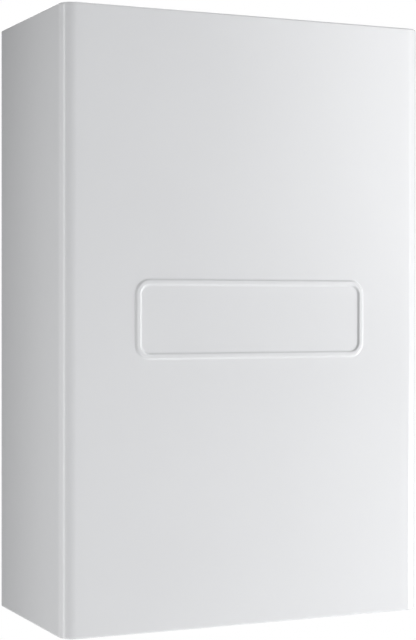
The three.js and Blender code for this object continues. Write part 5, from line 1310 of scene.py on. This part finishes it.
class BOILER_OT_pipework_fittings(bpy.types.Operator):
    """Adds the exchanger's plates, pipe sensors, bands, threads, grommets, the trap's ribs and a valve cap"""

    bl_idname = "boiler.pipework_fittings"
    bl_label = "Pipework fittings"

    PLATES = 13
    PLATE_CORNER, CORNER_STEPS = 8 * MM, 8
    # Share of a plate's depth, and how far in the edge is there, in millimetres.
    PLATE_EDGE = ((0.02, 1.6), (0.10, 0.5), (0.16, 0.0), (0.40, 0.0), (0.46, 0.5), (0.54, 1.6), (0.98, 1.6))
    PORT_RING = ((9, 55.6), (9.4, 56.4), (8.4, 57.2), (7, 57.2), (6, 56.4), (6, 55.6))
    CLIP = (9.1, 1.1, 6)           # inside radius, thickness and half width, in millimetres
    HOSE_BAND = (1.1, 3)           # thickness and half width; each band's place and inside radius follow
    HOSE_BANDS = (((205, -42, -276), 8.2), ((-160.3, -54.2, -364), 7.2), ((80, -95.2, -231), 8.2))
    VALVE_CAP = ((0, 219.4), (4.6, 219.4), (4.6, 222), (5, 222.4), (5, 227), (4.2, 228.4), (0, 228.4))
    THREAD_TOP, THREAD_STEP, THREAD_POINTS = 693.4, 0.9, 13
    THREAD_CREST, THREAD_ROOT = 0.75, 0.1
    BORE_DRAFT = 0.945             # the bore's share that the thread's ring leaves open

    def plate_outline(self, bm, middle, half, y, edge):
        """One ring of the exchanger's rounded outline, drawn in by the edge."""
        radius = self.PLATE_CORNER - edge
        row = []
        for k, (side_x, side_z) in enumerate(((1, 1), (-1, 1), (-1, -1), (1, -1))):
            for step in range(self.CORNER_STEPS + 1):
                turn = (k + step / self.CORNER_STEPS) * math.pi / 2
                row.append(bm.verts.new((
                    middle.x + side_x * (half.x - edge - radius) + radius * math.cos(turn), y,
                    middle.z + side_z * (half.z - edge - radius) + radius * math.sin(turn))))
        return row

    def exchanger(self):
        """Stacked plates whose rounded outline steps in and out along their depth, and the port rings."""
        low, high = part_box("plate_heat_exchanger")
        pitch = (high.y - low.y) / self.PLATES
        middle, half = (low + high) / 2, (high - low) / 2
        bm, rings = bmesh.new(), bmesh.new()
        rows = []
        for plate in range(self.PLATES):
            for share, inset in self.PLATE_EDGE:
                edge = 0.0 if plate in (0, self.PLATES - 1) else inset * MM
                rows.append(self.plate_outline(bm, middle, half, low.y + (plate + share) * pitch, edge))
        grid_faces(bm, rows, closed=True)
        bm.faces.new(rows[0])
        bm.faces.new(rows[-1][::-1])
        bmesh.ops.recalc_face_normals(bm, faces=bm.faces)
        stand_in("exchanger_plates", "plate_heat_exchanger", bm)
        for x in (-28, 84):
            for z in (-545, -502):
                turned(rings, self.PORT_RING, (x, 0, z), FRONT, 32, ring=True)
        slot = SLOT_OF_NODE["plate_heat_exchanger"]
        add_piece("exchanger_port_rings", slot, outward(rings))

    def sensors_and_bands(self):
        """The clips and sensors on the two heating pipes, and the bands round the hoses."""
        clips, sensors, bands = bmesh.new(), bmesh.new(), bmesh.new()
        for x in (-68, 125):
            turned(clips, band(*self.CLIP), (x, -30, -396), UP, 32, ring=True)
            moulding(sensors, (x - 6, -48, -403), (x + 6, -38.8, -389), 1.0)
        for centre, reach in self.HOSE_BANDS:
            turned(bands, band(reach, *self.HOSE_BAND), centre, UP, 32, ring=True)
        add_piece("sensor_clips", "stainless", outward(clips))
        add_piece("pipe_sensors", "black_plastic", sensors)
        add_piece("hose_bands", "stainless", outward(bands))

    def threads(self, finish, ends):
        """Turned threads on the pipe ends, each with a chamfered mouth."""
        bm = bmesh.new()
        for x, radius in ends:
            bore = (radius - 2.5) * self.BORE_DRAFT
            thread = [(radius + (self.THREAD_CREST if step % 2 else self.THREAD_ROOT),
                       self.THREAD_TOP + self.THREAD_STEP * step) for step in range(self.THREAD_POINTS)]
            turned(bm, [(bore, 692.4), (radius + self.THREAD_ROOT, 692.4), *thread, (radius - 0.2, 705.6),
                        (radius - 0.5, 706.05), (bore + 0.4, 706.05), (bore, 705.7)],
                   (x, PIPE_Y, 0), DOWN, 48, ring=True)
        add_piece(finish + "_pipe_threads", finish, outward(bm))

    def execute(self, context):
        self.exchanger()
        self.sensors_and_bands()
        grommets, cap = bmesh.new(), bmesh.new()
        for x, radius in PIPES:
            turned(grommets, [(radius + 0.4, 677.9), (radius + 4.2, 677.9), (radius + 4.2, 679),
                              (radius + 3.2, 680.2), (radius + 1.2, 680.2), (radius + 0.4, 679.6)],
                   (x, PIPE_Y, 0), DOWN, 40, ring=True)
        self.threads("brass", PIPES[:2] + PIPES[3:])
        self.threads("copper", PIPES[2:3])
        add_piece("panel_grommets", "rubber", outward(grommets))
        trap = SLOT_OF_NODE["condensate_trap"]
        bars("trap_grip_ribs", (46, 1.8, 1.8), [
            ((*polar(TRAP, 17.2, 20 * k), -422), (*polar((0, 0), 1, 20 * k), 0), UP) for k in range(18)
        ], trap)
        turned(cap, self.VALVE_CAP, (-182.3, 0, -40), FRONT, 24)
        add_piece("vessel_valve_cap", "black_plastic", outward(cap))
        return {"FINISHED"}


class BOILER_OT_sheet_fixings(bpy.types.Operator):
    """Adds the rivets of the rear frame and the screws of the top and bottom panels"""

    bl_idname = "boiler.sheet_fixings"
    bl_label = "Sheet-metal fixings"

    def execute(self, context):
        cell_bracket = [(x, z) for x in (-10, 100) for z in (-90, -120)]
        vessel_bracket = [(x, z) for x in (-205, -160) for z in (-160, -200)]
        box_bracket = [(-205.3, z) for z in (-415, -471, -527)]
        transformer = [(x, z) for x in (176, 218) for z in (-30, -60)]
        screws("frame_rivets", 3.0, [
            ((x, -9.0, z), REAR) for x, z in cell_bracket + vessel_bracket + box_bracket + transformer
        ], rise=0.4)
        corners = [(x, y) for x in (-208, 208) for y in (-24, -150)]
        screws("top_panel_screws", 3.0, [((x, y, 58.2), UP) for x, y in corners], rise=0.4)
        screws("bottom_panel_screws", 3.0, [((x, y, -678.2), DOWN) for x, y in corners], rise=0.4)
        return {"FINISHED"}


class BOILER_OT_wiring(bpy.types.Operator):
    """Runs the corrugated loom from the control box, its wires to each plug, and its ties"""

    bl_idname = "boiler.wiring"
    bl_label = "Wiring"

    LOOM_RADIUS = 5.4
    LOOM = ((-121, LOOM_Y, -432), (-98, LOOM_Y, -432), (-80, LOOM_Y, LOOM_Z), (223, LOOM_Y, LOOM_Z),
            (223, LOOM_Y, -150), (214, -41, -118), (214, -41, -78))
    TIES = (((-40, LOOM_Y, LOOM_Z), RIGHT), ((60, LOOM_Y, LOOM_Z), RIGHT), ((150, LOOM_Y, LOOM_Z), RIGHT),
            ((223, LOOM_Y, -340), UP), ((223, LOOM_Y, -200), UP))
    TIE = (5.5, 0.9, 1.8)
    BLACK = (
        ((10, -181, -400), (23, -200, -392), (23, -213, -375), (23, -213, -350)),
        ((206, -178, -405), (206, -151, -425), (206, -151, -500)),
        ((-84, -178, -402), (-94, -120, -430), (-94, -118, -470), (-94, -112, -478)),
        ((-68, -174, -400), (-68, -60, -396), (-68, -46, -396)),
        ((125, -174, -396), (125, -60, -394), (125, -46, -394)),
        ((221, -173, -300), (221, -173, -264), (212, -171.5, -262.5), (204, -171.5, -262.5)),
    )
    RED = (
        ((14, -181, -400), (28, -201, -392), (28, -213, -375), (28, -213, -350)),
        ((221, -172, -290), (221, -140, -262), (212, -138.5, -261), (204, -138.5, -261)),
        ((-81, -178, -403), (-90, -121, -430), (-90, -118, -470), (-90, -112, -478)),
    )
    BLUE = (
        ((18, -181, -400), (33, -202, -392), (33, -213, -375), (33, -213, -350)),
        ((-71, -174, -402), (-71, -60, -399), (-71, -46, -399)),
        ((128, -174, -398), (128, -60, -397), (128, -46, -397)),
        ((221, -171, -296), (221, -138, -268), (212, -136.5, -264), (204, -136.5, -264)),
    )

    def execute(self, context):
        hoses("wiring_loom", self.LOOM_RADIUS, [self.LOOM], "black_plastic", bend=18,
              pitch=0.9, groove=0.14)
        plug, ties = bmesh.new(), bmesh.new()
        moulding(plug, (205, -52, -80), (223, -30, -69.5), 1.2)
        add_piece("transformer_plug", "white_plastic", plug)
        for name, slot, finish, routes in (("wires_black", "black_plastic", "black_plastic", self.BLACK),
                                           ("wires_red", "red_plastic", "red_plastic", self.RED),
                                           ("wires_blue", "grey_plastic", "blue_plastic", self.BLUE)):
            hoses(name, 1.3, routes, finish, bend=16, pitch=2.5)
        for centre, axis in self.TIES:
            turned(ties, band(*self.TIE), centre, axis, 24, ring=True)
        add_piece("loom_ties", "white_plastic", outward(ties))
        return {"FINISHED"}


class BOILER_OT_finishes(bpy.types.Operator):
    """Gives every CAD node its finish and softens its facets"""

    bl_idname = "boiler.finishes"
    bl_label = "Finishes"

    def execute(self, context):
        make_finishes()
        softener = edge_softener()
        for name, node in frame["nodes"].items():
            for slot in node.material_slots:
                slot.material = finishes[SLOT_OF_NODE[name]]
            smooth = node.modifiers.new("edges", "NODES")
            smooth.node_group = softener
            set_inputs(smooth, merge_distance=0.002 * MM, sharp_angle=SMOOTH_ANGLE)
        return {"FINISHED"}


# ---- stage ----
class BOILER_OT_stage(bpy.types.Operator):
    """Sets the camera, the lights, the sky and the floor"""

    bl_idname = "boiler.stage"
    bl_label = "Stage"

    MIDDLE = -0.31                 # height of the casing's middle
    # Name, place, what it points at, size, and the setting that holds its power.
    LIGHTS = (
        ("key", (2.7, -3.2, 0.9), (0.1, -0.24, MIDDLE), (1.8, 2.4), "key_power"),
        ("left_strip", (-0.6, -0.247, -0.45), (-0.24, -0.225, -0.45), (0.02, 1.5), "left_power"),
        ("right_strip", (1.0, -0.83, MIDDLE), (0.24, -0.22, MIDDLE), (0.1, 1.6), "right_power"),
        ("low_right", (1.5, -1.25, -0.8), (0.0, -0.24, -0.6), (0.5, 0.4), "low_power"),
        ("overhead", (0.0, 0.42, 1.6), (0.0, -0.1, 0.0), (1.2, 1.2), "top_power"),
        ("behind", (0.7, 1.9, 0.3), (0.0, 0.0, MIDDLE), (1.0, 1.0), "back_power"),
    )
    WHITE, SKY_COLOUR = (1.0, 1.0, 1.0, 1.0), (0.97, 0.98, 1.0, 1.0)
    SKY_LEAN = (1.2, -0.75, 0.2)   # towards where the sky is brighter
    SENSOR_WIDTH, FARTHEST = 36.0, 50.0
    FLOOR_FORWARD = -0.2

    def light(self, name, place, target, size, power):
        """An area light that isn't seen itself."""
        data = bpy.data.lights.new(name, "AREA")
        data.shape = "RECTANGLE"
        data.size, data.size_y = size
        data.energy = power
        lamp = bpy.data.objects.new(name, data)
        lamp.location = place
        lamp.rotation_euler = (Vector(target) - Vector(place)).to_track_quat("-Z", "Y").to_euler()
        lamp.visible_camera = False
        bpy.context.scene.collection.objects.link(lamp)

    def camera(self, s):
        """The photograph's own camera."""
        data = bpy.data.cameras.new("photograph")
        data.lens = s.lens
        data.sensor_width = self.SENSOR_WIDTH
        data.clip_end = self.FARTHEST
        made = bpy.data.objects.new("photograph", data)
        level = math.cos(s.camera_pitch)
        ahead = Vector((math.sin(s.camera_yaw) * level, math.cos(s.camera_yaw) * level,
                        math.sin(s.camera_pitch)))
        turn = ahead.to_track_quat("-Z", "Y").to_matrix() @ Matrix.Rotation(s.camera_roll, 3, "Z")
        made.rotation_euler = turn.to_euler()
        made.location = s.camera_place
        bpy.context.scene.collection.objects.link(made)
        bpy.context.scene.camera = made

    def sky(self, s):
        """White to the eye, dimmer as light and a little stronger from the right front, as in a studio."""
        world = bpy.data.worlds.new("studio")
        world.use_nodes = True
        tree = world.node_tree
        shown = tree.nodes["Background"]
        shown.inputs["Color"].default_value = self.WHITE
        shown.inputs["Strength"].default_value = 1.0
        lit = tree.nodes.new("ShaderNodeBackground")
        lit.inputs["Color"].default_value = self.SKY_COLOUR
        way = tree.nodes.new("ShaderNodeTexCoord")
        slope, level = tree.nodes.new("ShaderNodeVectorMath"), tree.nodes.new("ShaderNodeMath")
        slope.operation = "DOT_PRODUCT"
        slope.inputs[1].default_value = Vector(self.SKY_LEAN) * s.sky_slope
        level.operation, level.inputs[1].default_value = "ADD", s.sky_light
        tree.links.new(way.outputs["Generated"], slope.inputs[0])
        tree.links.new(slope.outputs["Value"], level.inputs[0])
        tree.links.new(level.outputs["Value"], lit.inputs["Strength"])
        path, mix = tree.nodes.new("ShaderNodeLightPath"), tree.nodes.new("ShaderNodeMixShader")
        tree.links.new(path.outputs["Is Camera Ray"], mix.inputs["Fac"])
        tree.links.new(lit.outputs["Background"], mix.inputs[1])
        tree.links.new(shown.outputs["Background"], mix.inputs[2])
        tree.links.new(mix.outputs["Shader"], tree.nodes["World Output"].inputs["Surface"])
        bpy.context.scene.world = world

    def floor(self, s):
        """A square floor that isn't part of the boiler."""
        bm = bmesh.new()
        half = s.floor_size / 2
        corners = [bm.verts.new((x, y + self.FLOOR_FORWARD, -s.floor_drop))
                   for x, y in ((-half, -half), (half, -half), (half, half), (-half, half))]
        bm.faces.new(corners)
        mesh = bpy.data.meshes.new("floor")
        bm.to_mesh(mesh)
        bm.free()
        mesh.materials.append(stage_floor())
        made = bpy.data.objects.new("floor", mesh)
        bpy.context.scene.collection.objects.link(made)

    def execute(self, context):
        s = context.scene.boiler_stage
        context.scene.view_settings.view_transform = "Standard"
        self.camera(s)
        self.sky(s)
        for name, place, target, size, power in self.LIGHTS:
            self.light(name, place, target, size, getattr(s, power))
        self.floor(s)
        return {"FINISHED"}


class BOILER_PT_pieces(bpy.types.Panel):
    """Lists the boiler's operators and settings"""

    bl_label = "Combi boiler"
    bl_idname = "BOILER_PT_pieces"
    bl_space_type = "VIEW_3D"
    bl_region_type = "UI"
    bl_category = "Boiler"

    def draw(self, context):
        for operator in OPERATORS:
            self.layout.operator(operator.bl_idname)
        for settings in ("boiler_casing", "boiler_colours", "boiler_stage", "boiler_screws"):
            group = getattr(context.scene, settings)
            box = self.layout.box()
            for name in group.__annotations__:
                box.prop(group, name)


SETTINGS = (
    ("boiler_casing", CasingSizes),
    ("boiler_colours", FinishColours),
    ("boiler_stage", StageSettings),
    ("boiler_screws", ScrewSizes),
)
OPERATORS = (
    BOILER_OT_stage, BOILER_OT_finishes, BOILER_OT_casing, BOILER_OT_flue, BOILER_OT_burner_door,
    BOILER_OT_fan_fittings, BOILER_OT_gauge_dial, BOILER_OT_control_box_fittings, BOILER_OT_pump_fittings,
    BOILER_OT_pipework_fittings, BOILER_OT_sheet_fixings, BOILER_OT_wiring,
)


def register():
    """Registers the settings, the operators and the panel."""
    for name, group in SETTINGS:
        bpy.utils.register_class(group)
        setattr(bpy.types.Scene, name, PointerProperty(type=group))
    for operator in OPERATORS:
        bpy.utils.register_class(operator)
    bpy.utils.register_class(BOILER_PT_pieces)


def unregister():
    """Takes away what register added."""
    bpy.utils.unregister_class(BOILER_PT_pieces)
    for operator in reversed(OPERATORS):
        bpy.utils.unregister_class(operator)
    for name, group in reversed(SETTINGS):
        delattr(bpy.types.Scene, name)
        bpy.utils.unregister_class(group)


def main():
    """Builds the stage and every piece."""
    register()
    for operator in OPERATORS:
        group, name = operator.bl_idname.split(".")
        getattr(getattr(bpy.ops, group), name)()


if __name__ == "__main__":
    main()
